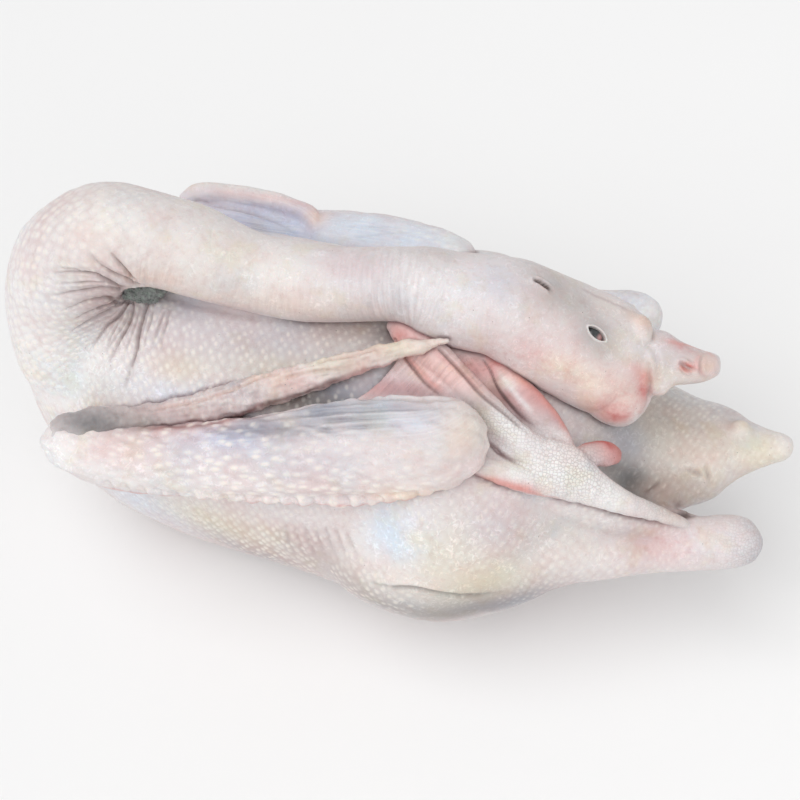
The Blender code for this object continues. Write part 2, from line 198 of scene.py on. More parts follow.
def view_up():
    """The direction that points up in the photograph."""
    azimuth = math.radians(VIEW_AZIMUTH)
    return np.cross(sight(), (math.cos(azimuth), math.sin(azimuth), 0.0))


def line_distance(points, line, reach):
    """Each point's distance from a line in mm, and how far along the line it lies from 0 to 1."""
    line = smooth_rows(line, 4) * MM
    away = np.full(len(points), 1.0)
    along = np.zeros(len(points))
    low, high = line.min(0) - reach * MM, line.max(0) + reach * MM
    close = np.flatnonzero(((points > low) & (points < high)).all(1))
    spot = points[close]
    best = np.full(len(spot), 1.0)
    part = np.zeros(len(spot))
    knots = np.concatenate([[0], np.cumsum(np.linalg.norm(np.diff(line, axis=0), axis=1))])
    for i in range(len(line) - 1):
        span = line[i + 1] - line[i]
        t = np.clip((spot - line[i]) @ span / (span @ span), 0, 1)
        d = np.linalg.norm(spot - line[i] - t[:, None] * span, axis=1)
        nearer = d < best
        best[nearer] = d[nearer]
        part[nearer] = (knots[i] + t[nearer] * (knots[i + 1] - knots[i])) / knots[-1]
    away[close] = best
    along[close] = part
    return away / MM, along


# Limbs


def limb(rows, up=UP, sides=40, upright=False, roll=0):
    """Rings of a tapered limb. A row is x, y, z, half width, half depth above and below, and twist."""
    rows = [row if len(row) == 7 else (*row, roll) for row in rows]
    rows = smooth_rows(rows, STEPS)
    rows[:, :6] *= MM
    rows[:, 3:6] = np.maximum(rows[:, 3:6], 0.3 * MM)
    centre = rows[:, :3]
    last = len(rows) - 1
    ahead = centre[np.minimum(np.arange(last + 1) + 1, last)] - centre[np.maximum(np.arange(last + 1) - 1, 0)]
    ahead = np.tile((1.0, 0.0, 0.0), (last + 1, 1)) if upright else unit(ahead)
    side = unit(np.cross(ahead, np.array(up, float)))
    top = unit(np.cross(side, ahead))
    turn = np.radians(rows[:, 6])[:, None]
    across = side * np.cos(turn) + top * np.sin(turn)
    over = top * np.cos(turn) - side * np.sin(turn)
    angle = math.tau * np.arange(sides) / sides
    depth = np.where(np.sin(angle)[None] > 0, rows[:, 4:5], rows[:, 5:6])
    ring = centre[:, None] + across[:, None] * (rows[:, 3:4] * np.cos(angle))[:, :, None]
    ring = ring + over[:, None] * (depth * np.sin(angle))[:, :, None]
    along = np.concatenate([[0], np.cumsum(np.linalg.norm(np.diff(centre, axis=0), axis=1))])
    step = np.linalg.norm(np.roll(ring, -1, axis=1) - ring, axis=2)
    around = np.concatenate([np.zeros((len(ring), 1)), np.cumsum(step, axis=1)[:, :-1]], axis=1)
    around = np.where(np.arange(sides)[None] > sides // 2, around - step.sum(1, keepdims=True), around)
    return {"ring": ring, "along": along, "around": around}


def limb_faces(ring_count, sides, first):
    """Faces of a closed limb whose points start at an index."""
    faces = []
    for i in range(ring_count - 1):
        a = first + i * sides
        b = a + sides
        for k in range(sides):
            n = (k + 1) % sides
            faces.append((a + k, a + n, b + n, b + k))
    faces.append(tuple(range(first + sides - 1, first - 1, -1)))
    end = first + (ring_count - 1) * sides
    faces.append(tuple(range(end, end + sides)))
    return faces


def own_mesh(name, points, faces):
    """Links a plain mesh to the scene as an object."""
    mesh = bpy.data.meshes.new(name)
    mesh.from_pydata([tuple(p) for p in points], [], faces)
    mesh.update()
    thing = bpy.data.objects.new(name, mesh)
    bpy.context.scene.collection.objects.link(thing)
    return thing


def settle(thing):
    """Turns an object's modified shape into its own mesh and takes the modifiers off."""
    graph = bpy.context.evaluated_depsgraph_get()
    done = bpy.data.meshes.new_from_object(thing.evaluated_get(graph))
    thing.modifiers.clear()
    old = thing.data
    thing.data = done
    bpy.data.meshes.remove(old)
    return thing


def grow(name, limbs, voxel, rounds, extra=()):
    """Fuses limbs and extra closed shapes into one skin, on a grid of a size in mm."""
    points, faces = [], []
    for shape in limbs:
        count, sides = shape["ring"].shape[:2]
        faces += limb_faces(count, sides, sum(len(p) for p in points))
        points.append(shape["ring"].reshape(-1, 3))
    for thing in extra:
        first = sum(len(p) for p in points)
        faces += [tuple(first + i for i in face.vertices) for face in thing.data.polygons]
        points.append(np.array([v.co for v in thing.data.vertices]))
        bpy.data.objects.remove(thing, do_unlink=True)
    skin = own_mesh(name, np.vstack(points), faces)
    fuse = skin.modifiers.new("one skin", "REMESH")
    fuse.mode = "VOXEL"
    fuse.voxel_size = voxel * MM
    even = skin.modifiers.new("even", "SMOOTH")
    even.factor = 0.5
    even.iterations = rounds
    return settle(skin)


class Skin:
    """A piece of skin while it is shaped: its points, their outward directions and its marks."""

    def __init__(self, name, limbs, voxel, rounds, extra=()):
        self.limbs = limbs
        self.thing = grow(name, limbs, voxel, rounds, extra)
        self.read()

    def read(self):
        """Takes points and outward directions from the mesh."""
        mesh = self.thing.data
        flat = np.empty(len(mesh.vertices) * 3)
        mesh.vertices.foreach_get("co", flat)
        self.points = flat.reshape(-1, 3).copy()
        flat = np.empty(len(mesh.vertices) * 3)
        mesh.vertex_normals.foreach_get("vector", flat)
        self.out = flat.reshape(-1, 3).copy()
        if not hasattr(self, "crease_shade") or len(self.crease_shade) != len(self.points):
            self.crease_shade = np.zeros(len(self.points))

    def write(self):
        """Puts the moved points back into the mesh, and reads the new outward directions."""
        mesh = self.thing.data
        mesh.vertices.foreach_set("co", self.points.ravel())
        mesh.update()
        self.read()

    def refine(self, place, reach):
        """Splits the faces round a place in mm, for small features."""
        mesh = bmesh.new()
        mesh.from_mesh(self.thing.data)
        middle = Vector(place) * MM
        scale = Vector([1 / (r * MM) for r in reach])
        near = {v for v in mesh.verts if ((v.co - middle) * scale).length < 1}
        edges = [e for e in mesh.edges if e.verts[0] in near and e.verts[1] in near]
        cut = bmesh.ops.subdivide_edges(mesh, edges=edges, cuts=1, use_grid_fill=True)
        fresh = [g for g in cut["geom_inner"] if isinstance(g, bmesh.types.BMVert)]
        axes = {"use_axis_x": True, "use_axis_y": True, "use_axis_z": True}
        bmesh.ops.smooth_vert(mesh, verts=fresh, factor=0.5, **axes)
        mesh.to_mesh(self.thing.data)
        mesh.free()
        self.read()

    def push(self, millimetres):
        """Moves each point outwards by its own amount."""
        self.points += self.out * (millimetres * MM)[:, None]

    def swell(self, place, reach, amount):
        """A soft hump, or a dent where the amount is below zero."""
        away = np.linalg.norm((self.points / MM - np.array(place)) / np.array(reach), axis=1)
        self.push(amount * np.exp(-away * away))

    def onto(self, line):
        """Slides the points of a line in mm along the line of sight until they lie on the skin."""
        back = sight()
        fine = smooth_rows(line, 4)
        low, high = fine.min(0) - 20, fine.max(0) + 20
        spots = self.points / MM
        close = ((spots > low) & (spots < high)).all(1) & (self.out @ back > 0.1)
        spots = spots[close]
        done = []
        for point in fine:
            offset = spots - point
            depth = offset @ back
            beside = np.linalg.norm(offset - depth[:, None] * back, axis=1)
            best = (np.abs(depth) + 6 * beside).argmin()
            done.append(point + depth[best] * back)
        return np.array(done)

    def furrow(self, lines, width, depth, mark=1.0, lip=0.35, taper=0.5, mouth=0.12):
        """Presses narrow folds along lines, with raised lips beside them that fade to both ends.

        A mouth of one keeps the full depth at the start of the line.
        """
        faced = smoothstep(self.out @ sight(), -0.1, 0.15)
        # every line is laid on the skin before the first one is pressed in
        for line in [self.onto(line) for line in lines]:
            away, along = line_distance(self.points, line, 5 * width)
            fade = (np.minimum(along + mouth, 1.02 - along) / taper).clip(0, 1) ** 0.8 * faced
            dip = np.exp(-((away / width) ** 2)) * fade
            side = np.exp(-(((away - 2.0 * width) / width) ** 2)) * fade
            self.push(np.where(away < 5 * width, -depth * dip + lip * depth * side, 0))
            # the crease mark is painted shade along the fold's bottom
            self.crease_shade = np.maximum(self.crease_shade, mark * np.exp(-((away / (0.75 * width)) ** 2)) * fade)

    def trace(self, colour, lines, width, name, strength, ends=0.25):
        """Lays soft lines of tone on the skin, along lines that are slid onto it first."""
        for line in [self.onto(line) for line in lines]:
            away, along = line_distance(self.points, line, 4 * width)
            fade = ((np.minimum(along, 1 - along) + 0.05) / ends).clip(0, 1)
            share = (strength * np.exp(-((away / width) ** 2)) * fade)[:, None]
            colour[:, :3] = colour[:, :3] * (1 - share) + tone(name) * share

    def furrows(self, folds):
        """Presses folds from a table whose rows say what furrow takes."""
        for fold in folds:
            self.furrow(*fold)

    def traces(self, colour, rows):
        """Lays lines of tone from a table whose rows say what trace takes."""
        for row in rows:
            self.trace(colour, *row)

    def place(self):
        """How far along and round its nearest limb each point lies, in metres."""
        rings = [shape["ring"] for shape in self.limbs]
        tree = kdtree.KDTree(sum(r.shape[0] * r.shape[1] for r in rings))
        keys = []
        for number, ring in enumerate(rings):
            for i in range(ring.shape[0]):
                for k in range(ring.shape[1]):
                    tree.insert(ring[i, k], len(keys))
                    keys.append((number, i, k))
        tree.balance()
        keys = np.array(keys)
        found = np.array([tree.find(p)[1] for p in self.points.tolist()])
        number, i, k = keys[found].T
        along = np.zeros(len(found))
        around = np.zeros(len(found))
        for n, shape in enumerate(self.limbs):
            mine = np.flatnonzero(number == n)
            if not len(mine):
                continue
            ring, s, v = shape["ring"], shape["along"], shape["around"]
            count, sides = ring.shape[:2]
            a, b = np.maximum(i[mine] - 1, 0), np.minimum(i[mine] + 1, count - 1)
            left, right = (k[mine] - 1) % sides, (k[mine] + 1) % sides
            here = ring[i[mine], k[mine]]
            gap = (s[b] - s[a])[:, None]
            forward = (ring[b, k[mine]] - ring[a, k[mine]]) / gap
            slant = (v[b, k[mine]] - v[a, k[mine]]) / gap[:, 0]
            chord = ring[i[mine], right] - ring[i[mine], left]
            wide = np.linalg.norm(chord, axis=1)
            sideways = chord / np.maximum(wide, 1e-9)[:, None]
            offset = self.points[mine] - here
            ff = (forward * forward).sum(1)
            fs = (forward * sideways).sum(1)
            of = (offset * forward).sum(1)
            os = (offset * sideways).sum(1)
            det = np.maximum(ff - fs * fs, 1e-6)
            ds = (of - fs * os) / det
            dv = (ff * os - fs * of) / det
            along[mine] = s[i[mine]] + ds
            around[mine] = v[i[mine], k[mine]] + slant * ds + dv
        return along, around

    def seams(self, place):
        """Points beside a jump in the skin coordinates, where no pattern may show."""
        mesh = self.thing.data
        pairs = np.empty(len(mesh.edges) * 2, np.int32)
        mesh.edges.foreach_get("vertices", pairs)
        a, b = pairs.reshape(-1, 2).T
        length = np.linalg.norm(self.points[a] - self.points[b], axis=1)
        jump = np.linalg.norm(place[a] - place[b], axis=1) > 2.2 * length + 0.0010
        near = np.zeros(len(self.points))
        near[a[jump]] = 1
        near[b[jump]] = 1
        for _ in range(2):
            spread = near.copy()
            np.maximum.at(spread, a, near[b] * 0.55)
            np.maximum.at(spread, b, near[a] * 0.55)
            near = spread
        return near

    def finish(self, tint, start=0.0, stretch=1.0, **marks):
        """Stores the skin coordinates, the tint and the marks that the finish reads."""
        along, around = self.place()
        place = np.column_stack([along * stretch + start, around, np.zeros(len(along))])
        keep = 1 - self.seams(place)
        self.mark("skin_map", place)
        self.mark("tint", tint)
        self.mark("crease_shade", self.crease_shade)
        for name in ("dots", "rings", "streaks"):
            self.mark(name, patch_mask(self.points, marks.get(name, [])) * keep)
        for name in ("scales", "flush", "frost", "specks"):
            self.mark(name, patch_mask(self.points, marks.get(name, [])))
        return self.thing

    def mark(self, name, values):
        """Stores a number or colour for every point."""
        kinds = {1: "FLOAT", 3: "FLOAT_VECTOR", 4: "FLOAT_COLOR"}
        width = 1 if values.ndim == 1 else values.shape[1]
        layer = self.thing.data.attributes.new(name, kinds[width], "POINT")
        key = {1: "value", 3: "vector", 4: "color"}[width]
        layer.data.foreach_set(key, values.astype(np.float32).ravel())

    def paint(self, ground, patches):
        """Lays patches of tone over a ground tone: place and reach in mm, tone and strength."""
        colour = np.tile(tone(ground), (len(self.points), 1))
        spots = self.points / MM
        for place, reach, name, strength in patches:
            away = np.linalg.norm((spots - np.array(place, float)) / np.array(reach, float), axis=1)
            share = (strength * np.exp(-away * away))[:, None]
            colour = colour * (1 - share) + tone(name) * share
        return np.column_stack([colour, np.ones(len(colour))])


def patch_mask(points, patches):
    """A soft mask from places, reaches in mm and strengths. A strength below zero takes away."""
    mask = np.zeros(len(points))
    for place, reach, strength in patches:
        away = np.linalg.norm((points / MM - np.array(place, float)) / np.array(reach, float), axis=1)
        share = np.exp(-away * away)
        mask = mask + strength * share * (1 - mask) if strength > 0 else mask * (1 + strength * share)
    return mask.clip(0, 1)


# Finishes


class Wires:
    """Adds nodes to a tree and joins them."""

    def __init__(self, tree):
        self.tree = tree

    def add(self, kind, inputs=None, **settings):
        """A node with its settings made and its inputs set or linked."""
        node = self.tree.nodes.new(kind)
        for key, value in settings.items():
            setattr(node, key, value)
        for key, value in (inputs or {}).items():
            if isinstance(value, bpy.types.NodeSocket):
                self.tree.links.new(value, node.inputs[key])
            else:
                node.inputs[key].default_value = value
        return node

    def sum(self, operation, a, b=0.0, c=0.0):
        """One step of arithmetic."""
        return self.add("ShaderNodeMath", {0: a, 1: b, 2: c}, operation=operation).outputs[0]

    def span(self, value, low, high, to_low=0.0, to_high=1.0):
        """A soft step of a value between two bounds."""
        inputs = {"Value": value, "From Min": low, "From Max": high, "To Min": to_low, "To Max": to_high}
        return self.add("ShaderNodeMapRange", inputs, interpolation_type="SMOOTHSTEP").outputs[0]

    def blend(self, share, a, b, way="MIX"):
        """Mixes a share of the second colour into the first."""
        node = self.add("ShaderNodeMix", {0: share, 6: a, 7: b}, data_type="RGBA", blend_type=way)
        return node.outputs[2]

    def cast(self, share, colour, light):
        """Multiplies a share of a colour by red, green and blue light."""
        return self.blend(share, colour, self.blend(1.0, colour, (*light, 1), "MULTIPLY"))

    def noise(self, where, scale, detail=3.0, rough=0.55, warp=0.0):
        """Soft noise at a place."""
        inputs = {"Vector": where, "Scale": scale, "Detail": detail, "Roughness": rough, "Distortion": warp}
        return self.add("ShaderNodeTexNoise", inputs).outputs[0]

    def value_of(self, name):
        """A number stored on the points."""
        return self.add("ShaderNodeAttribute", attribute_name=name).outputs["Fac"]


def rgba(name):
    """A tone with full opacity."""
    return (*tone(name), 1.0)


def new_material(name):
    """An empty node material, its wires and its shader."""
    material = bpy.data.materials.new(name)
    material.use_nodes = True
    return material, Wires(material.node_tree), material.node_tree.nodes["Principled BSDF"]


def stretched(w, place, along, around):
    """Skin coordinates scaled along and round the limb."""
    scale = w.add("ShaderNodeVectorMath", {0: place, 1: (along, around, 0.0)}, operation="MULTIPLY")
    return scale.outputs[0]


def staggered(w, place, gap):
    """Skin coordinates turned and scaled, so that follicles stand in staggered rows."""
    turn = w.add("ShaderNodeMapping", {"Vector": place, "Rotation": (0, 0, math.radians(ROW_TURN))})
    turn.inputs["Scale"].default_value = (1 / gap, ROUND_STRETCH / gap, 1 / gap)
    return turn.outputs[0]


def skin_material(name, gap=3.3, dot=0.27, bold=0.76, scatter=0.5, scale_gap=1.6, rough=0.46, glow=0.14):
    """Plucked skin: mottled tone, follicles in staggered rows, fine folds, scales and creases of painted
    shade.
    """
    material, w, shader = new_material(name)
    here = w.add("ShaderNodeTexCoord").outputs["Object"]
    place = w.add("ShaderNodeAttribute", attribute_name="skin_map").outputs["Vector"]
    colour = w.add("ShaderNodeAttribute", attribute_name="tint").outputs["Color"]

    clouds = [w.noise(here, scale, detail, 0.6) for scale, detail, *_ in DRIFTS]
    for cloud, (_, _, low, high, light) in zip(clouds, DRIFTS):
        colour = w.cast(w.span(cloud, low, high, 0.0, DRIFT_SHARE), colour, light)
    fleck = w.noise(here, 330, 4, 0.6)
    colour = w.cast(w.span(fleck, 0.50, 0.32, 0.0, 0.40), colour, FLECK_LIGHT)
    blood = w.span(w.noise(here, 190, 6, 0.75, 0.2), 0.40, 0.68)
    blood = w.sum("MULTIPLY", blood, w.value_of("flush"))
    colour = w.blend(w.sum("MULTIPLY", blood, 0.60), colour, rgba("red"))
    fibre = w.span(w.noise(here, 300, 5, 0.72, 1.4), 0.50, 0.64)
    strong = w.sum("MULTIPLY_ADD", w.value_of("frost"), 0.65, w.span(clouds[0], 0.36, 0.58, 0.42, 0.18))
    colour = w.cast(w.sum("MULTIPLY", fibre, strong), colour, FIBRE_LIGHT)

    cell = {"Vector": staggered(w, place, gap * MM), "Scale": 1.0, "Randomness": scatter}
    grid = w.add("ShaderNodeTexVoronoi", cell, voronoi_dimensions="2D").outputs
    plucked = w.value_of("dots")
    wide = w.sum("MULTIPLY_ADD", plucked, -0.16, w.sum("ADD", grid["Distance"], 0.10))
    dots = w.span(wide, dot + 0.15, dot - 0.17)
    vary = w.span(grid["Color"], 0.20, 0.62, 0.40, 1.0)
    patchy = w.span(w.noise(here, 95, 3, 0.6), 0.34, 0.58, 0.45, 1.0)
    dots = w.sum("MULTIPLY", w.sum("MULTIPLY", dots, vary), w.sum("MULTIPLY", patchy, plucked))
    moat = w.sum("MULTIPLY", w.span(grid["Distance"], dot + 0.04, dot + 0.40), plucked)
    colour = w.cast(w.sum("MULTIPLY", moat, 0.55), colour, MOAT_LIGHT)

    fine = {"Vector": here, "Scale": 1 / (scale_gap * MM), "Randomness": SCALE_SCATTER}
    edge = w.add("ShaderNodeTexVoronoi", fine, voronoi_dimensions="3D", feature="DISTANCE_TO_EDGE")
    net = w.sum("MULTIPLY", w.span(edge.outputs["Distance"], 0.13, 0.02), w.value_of("scales"))
    ribs = w.noise(stretched(w, place, 620, 70), 1.0, 3, 0.5)
    rings = w.sum("MULTIPLY", w.span(ribs, 0.36, 0.66), w.value_of("rings"))
    threads = w.noise(stretched(w, place, 42, 760), 1.0, 3, 0.5)
    streaks = w.sum("MULTIPLY", w.span(threads, 0.42, 0.66), w.value_of("streaks"))
    pores = {"Vector": here, "Scale": 1 / (SPECK_GAP * MM), "Randomness": 1.0}
    pores = w.add("ShaderNodeTexVoronoi", pores, voronoi_dimensions="3D").outputs
    rare = w.sum("MULTIPLY_ADD", w.value_of("specks"), -0.35, 0.90)
    chosen = w.sum("GREATER_THAN", pores["Color"], rare)
    specks = w.sum("MULTIPLY", w.span(pores["Distance"], 0.14, 0.06), chosen)

    # each mark's share of the tone that it brings
    tones = [(dots, bold, "dot"), (net, 0.28, "fold"), (rings, 0.24, "fold"), (streaks, 0.50, "white")]
    # the crease mark's fold tone is painted shade in the bottoms of folds
    tones += [(specks, 0.7, "speck"), (w.value_of("crease_shade"), 0.66, "fold")]
    for mark, share, label in tones:
        colour = w.blend(w.sum("MULTIPLY", mark, share), colour, rgba(label))
    w.tree.links.new(colour, shader.inputs["Base Color"])

    # each mark's height in mm
    heights = [(net, -0.16), (rings, -0.24), (streaks, 0.10), (fibre, 0.06)]
    heights += [(w.noise(here, 620, 4, 0.6), 0.10), (w.noise(here, 210, 3, 0.5), 0.22)]
    height = w.sum("MULTIPLY", dots, 0.16)
    for mark, rise in heights:
        height = w.sum("MULTIPLY_ADD", mark, rise, height)
    bump = w.add("ShaderNodeBump", {"Strength": 1.0, "Distance": MM, "Height": height})
    w.tree.links.new(bump.outputs[0], shader.inputs["Normal"])
    w.tree.links.new(w.span(fleck, 0.3, 0.7, rough - 0.08, rough + 0.10), shader.inputs["Roughness"])
    shader.inputs["Specular IOR Level"].default_value = 0.42
    shader.inputs["Subsurface Weight"].default_value = glow
    shader.inputs["Subsurface Radius"].default_value = (1.0, 0.45, 0.32)
    shader.inputs["Subsurface Scale"].default_value = 2.5 * MM
    return material


def eye_material():
    """A dark, wet eye with a pink inner corner."""
    material, w, shader = new_material("wet_eye")
    here = w.add("ShaderNodeTexCoord").outputs["Object"]
    corner = w.add("ShaderNodeVectorMath", {0: here, 1: (0.0925, -0.0088, 0.1545)}, operation="DISTANCE")
    share = w.span(corner.outputs["Value"], 0.0048, 0.0026)
    slate = w.blend(w.noise(here, 700, 3), (0.016, 0.019, 0.021, 1), (0.07, 0.075, 0.078, 1))
    w.tree.links.new(w.blend(share, slate, rgba("rose")), shader.inputs["Base Color"])
    dull = w.noise(here, 900, 2)
    w.tree.links.new(w.span(dull, 0.3, 0.7, 0.10, 0.24), shader.inputs["Roughness"])
    shader.inputs["Coat Weight"].default_value = 0.6
    shader.inputs["Coat Roughness"].default_value = 0.08
    return material


def dirt_material():
    """Grey-green grit caught in the crook of the neck."""
    material, w, shader = new_material("crook_grit")
    here = w.add("ShaderNodeTexCoord").outputs["Object"]
    grain = w.noise(here, 900, 4, 0.7)
    moss = w.span(w.noise(here, 420, 2), 0.42, 0.6)
    dark = w.blend(grain, (0.10, 0.11, 0.105, 1), (0.42, 0.43, 0.42, 1))
    green = w.blend(grain, (0.14, 0.18, 0.16, 1), (0.46, 0.50, 0.46, 1))
    w.tree.links.new(w.blend(moss, dark, green), shader.inputs["Base Color"])
    w.tree.links.new(w.span(grain, 0.3, 0.7, 0.7, 0.95), shader.inputs["Roughness"])
    bump = w.add("ShaderNodeBump", {"Strength": 1.0, "Distance": MM, "Height": grain})
    w.tree.links.new(bump.outputs[0], shader.inputs["Normal"])
    return material


def floor_material():
    """Plain pale floor."""
    material, w, shader = new_material("pale_floor")
    here = w.add("ShaderNodeTexCoord").outputs["Object"]
    tint = w.blend(w.noise(here, 3, 2), (0.90, 0.90, 0.90, 1), (0.93, 0.93, 0.93, 1))
    w.tree.links.new(tint, shader.inputs["Base Color"])
    shader.inputs["Roughness"].default_value = 0.9
    return material


# Geometry Nodes


def new_tree(name, numbers):
    """A geometry tree with a shape and named numbers as inputs. Returns it with its wires and ends."""
    tree = bpy.data.node_groups.new(name, "GeometryNodeTree")
    face = tree.interface
    face.new_socket("Geometry", in_out="INPUT", socket_type="NodeSocketGeometry")
    for key, value in numbers.items():
        kind = "NodeSocketInt" if isinstance(value, int) else "NodeSocketFloat"
        face.new_socket(key, in_out="INPUT", socket_type=kind).default_value = value
    face.new_socket("Finish", in_out="INPUT", socket_type="NodeSocketMaterial")
    face.new_socket("Geometry", in_out="OUTPUT", socket_type="NodeSocketGeometry")
    w = Wires(tree)
    start = w.add("NodeGroupInput")
    end = w.add("NodeGroupOutput")
    return tree, w, start.outputs, end.inputs


def close_tree(w, shape, finish, end):
    """Every tree ends in real geometry with its finish set."""
    real = w.add("GeometryNodeRealizeInstances", {"Geometry": shape}).outputs[0]
    done = w.add("GeometryNodeSetMaterial", {"Geometry": real, "Material": finish}).outputs[0]
    w.tree.links.new(done, end["Geometry"])


def run_tree(thing, tree, finish, **numbers):
    """Runs a tree on an object and keeps the result as its own mesh."""
    step = thing.modifiers.new(tree.name, "NODES")
    step.node_group = tree
    for item in tree.interface.items_tree:
        if item.in_out == "INPUT" and item.name in numbers:
            step[item.identifier] = numbers[item.name]
        if item.in_out == "INPUT" and item.name == "Finish":
            step[item.identifier] = finish
    return settle(thing)


def skin_relief_tree():
    """Raises the follicles and sinks the lines between scales, on the same pattern as the finish."""
    numbers = {"Follicle_gap": 3.3, "Dot": 0.27, "Scatter": 0.5, "Follicle_height": 0.2}
    numbers |= {"Scale_gap": 1.6, "Scale_depth": 0.1}
    tree, w, start, end = new_tree("skin_relief", numbers)
    stored = "GeometryNodeInputNamedAttribute"
    place = w.add(stored, {"Name": "skin_map"}, data_type="FLOAT_VECTOR").outputs[0]
    dots_here = w.add(stored, {"Name": "dots"}, data_type="FLOAT").outputs[0]
    scales_here = w.add(stored, {"Name": "scales"}, data_type="FLOAT").outputs[0]
    along = w.sum("DIVIDE", 1 / MM, start["Follicle_gap"])
    around = w.sum("MULTIPLY", along, ROUND_STRETCH)
    per = w.add("ShaderNodeCombineXYZ", {0: along, 1: around}).outputs[0]
    rows = w.add("ShaderNodeVectorMath", {0: place, 1: per}, operation="MULTIPLY").outputs[0]
    turn = {"Vector": rows, "Angle": math.radians(ROW_TURN)}
    rows = w.add("ShaderNodeVectorRotate", turn, rotation_type="Z_AXIS").outputs[0]
    cell = {"Vector": rows, "Scale": 1.0, "Randomness": start["Scatter"]}
    follicle = w.add("ShaderNodeTexVoronoi", cell, voronoi_dimensions="2D").outputs["Distance"]
    high = w.sum("ADD", start["Dot"], 0.10)
    low = w.sum("SUBTRACT", start["Dot"], 0.18)
    dots = w.span(follicle, high, low)
    dots = w.sum("MULTIPLY", w.sum("MULTIPLY", dots, dots_here), start["Follicle_height"])
    fine_per = w.sum("DIVIDE", 1 / MM, start["Scale_gap"])
    spot = w.add("GeometryNodeInputPosition").outputs[0]
    cell = {"Vector": spot, "Scale": fine_per, "Randomness": SCALE_SCATTER}
    edge = w.add("ShaderNodeTexVoronoi", cell, voronoi_dimensions="3D", feature="DISTANCE_TO_EDGE")
    net = w.span(edge.outputs["Distance"], 0.16, 0.0)
    net = w.sum("MULTIPLY", w.sum("MULTIPLY", net, scales_here), start["Scale_depth"])
    lift = w.sum("MULTIPLY", w.sum("SUBTRACT", dots, net), MM)
    out = w.add("GeometryNodeInputNormal").outputs[0]
    offset = w.add("ShaderNodeVectorMath", {0: out, "Scale": lift}, operation="SCALE").outputs[0]
    moved = w.add("GeometryNodeSetPosition", {"Geometry": start["Geometry"], "Offset": offset}).outputs[0]
    close_tree(w, moved, start["Finish"], end)
    return tree


def dress(thing, relief, name, height=0.0, depth=0.0, gap=3.3, dot=0.27, scatter=0.5, **look):
    """Raises a piece's follicles, sinks the lines between its scales, and gives it its finish."""
    finish = skin_material(name, gap, dot, scatter=scatter, **look)
    numbers = {"Follicle_gap": gap, "Dot": dot, "Scatter": scatter}
    return run_tree(thing, relief, finish, Follicle_height=height, Scale_depth=depth, **numbers)


def sockets_tree():
    """Fleshy lobes in a row along a line, where the flight feathers were rooted."""
    numbers = {"Count": 20, "Length": 5.4, "Girth": 3.5}
    tree, w, start, end = new_tree("quill_sockets", numbers)
    line = w.add("GeometryNodeMeshToCurve", {"Mesh": start["Geometry"]}).outputs[0]
    spots = w.add("GeometryNodeCurveToPoints", {"Curve": line, "Count": start["Count"]}, mode="COUNT")
    ball = w.add("GeometryNodeMeshIcoSphere", {"Radius": MM, "Subdivisions": 3}).outputs[0]
    across = start["Girth"]
    girth = w.add("ShaderNodeCombineXYZ", {0: across, 1: across, 2: start["Length"]}).outputs[0]
    wobble = w.add("FunctionNodeRandomValue", {"Seed": 5}, data_type="FLOAT")
    wobble.inputs[2].default_value = 0.8
    wobble.inputs[3].default_value = 1.15
    share = w.sum("DIVIDE", w.add("GeometryNodeInputIndex").outputs[0], start["Count"])
    growth = w.sum("MULTIPLY", w.span(share, 0.0, 0.8, 0.62, 1.08), wobble.outputs[1])
    size = w.add("ShaderNodeVectorMath", {0: girth, "Scale": growth}, operation="SCALE").outputs[0]
    placed = {"Points": spots.outputs["Points"], "Instance": ball, "Scale": size}
    placed["Rotation"] = spots.outputs["Rotation"]
    row = w.add("GeometryNodeInstanceOnPoints", placed).outputs[0]
    close_tree(w, row, start["Finish"], end)
    return tree


def crumbs_tree():
    """Small grit scattered over a shape, which stays under it."""
    numbers = {"Gap": 1.0, "Grain": 0.5, "Seed": 11}
    tree, w, start, end = new_tree("grit_crumbs", numbers)
    gap = w.sum("MULTIPLY", start["Gap"], MM)
    spread = {"Mesh": start["Geometry"], "Distance Min": gap, "Density Max": 4.0e6, "Seed": start["Seed"]}
    spots = w.add("GeometryNodeDistributePointsOnFaces", spread, distribute_method="POISSON")
    grain = w.add("GeometryNodeMeshIcoSphere", {"Radius": MM, "Subdivisions": 1}).outputs[0]
    size = w.add("FunctionNodeRandomValue", {"Seed": 3}, data_type="FLOAT_VECTOR")
    size.inputs[0].default_value = (0.6, 0.5, 0.5)
    size.inputs[1].default_value = (1.4, 1.2, 1.1)
    scale = {0: size.outputs[0], "Scale": start["Grain"]}
    scale = w.add("ShaderNodeVectorMath", scale, operation="SCALE").outputs[0]
    placed = {"Points": spots.outputs["Points"], "Instance": grain, "Scale": scale}
    placed["Rotation"] = spots.outputs["Rotation"]
    grit = w.add("GeometryNodeInstanceOnPoints", placed).outputs[0]
    both = w.add("GeometryNodeJoinGeometry")
    w.tree.links.new(start["Geometry"], both.inputs[0])
    w.tree.links.new(grit, both.inputs[0])
    close_tree(w, both.outputs[0], start["Finish"], end)
    return tree


# The bird's limbs, in mm

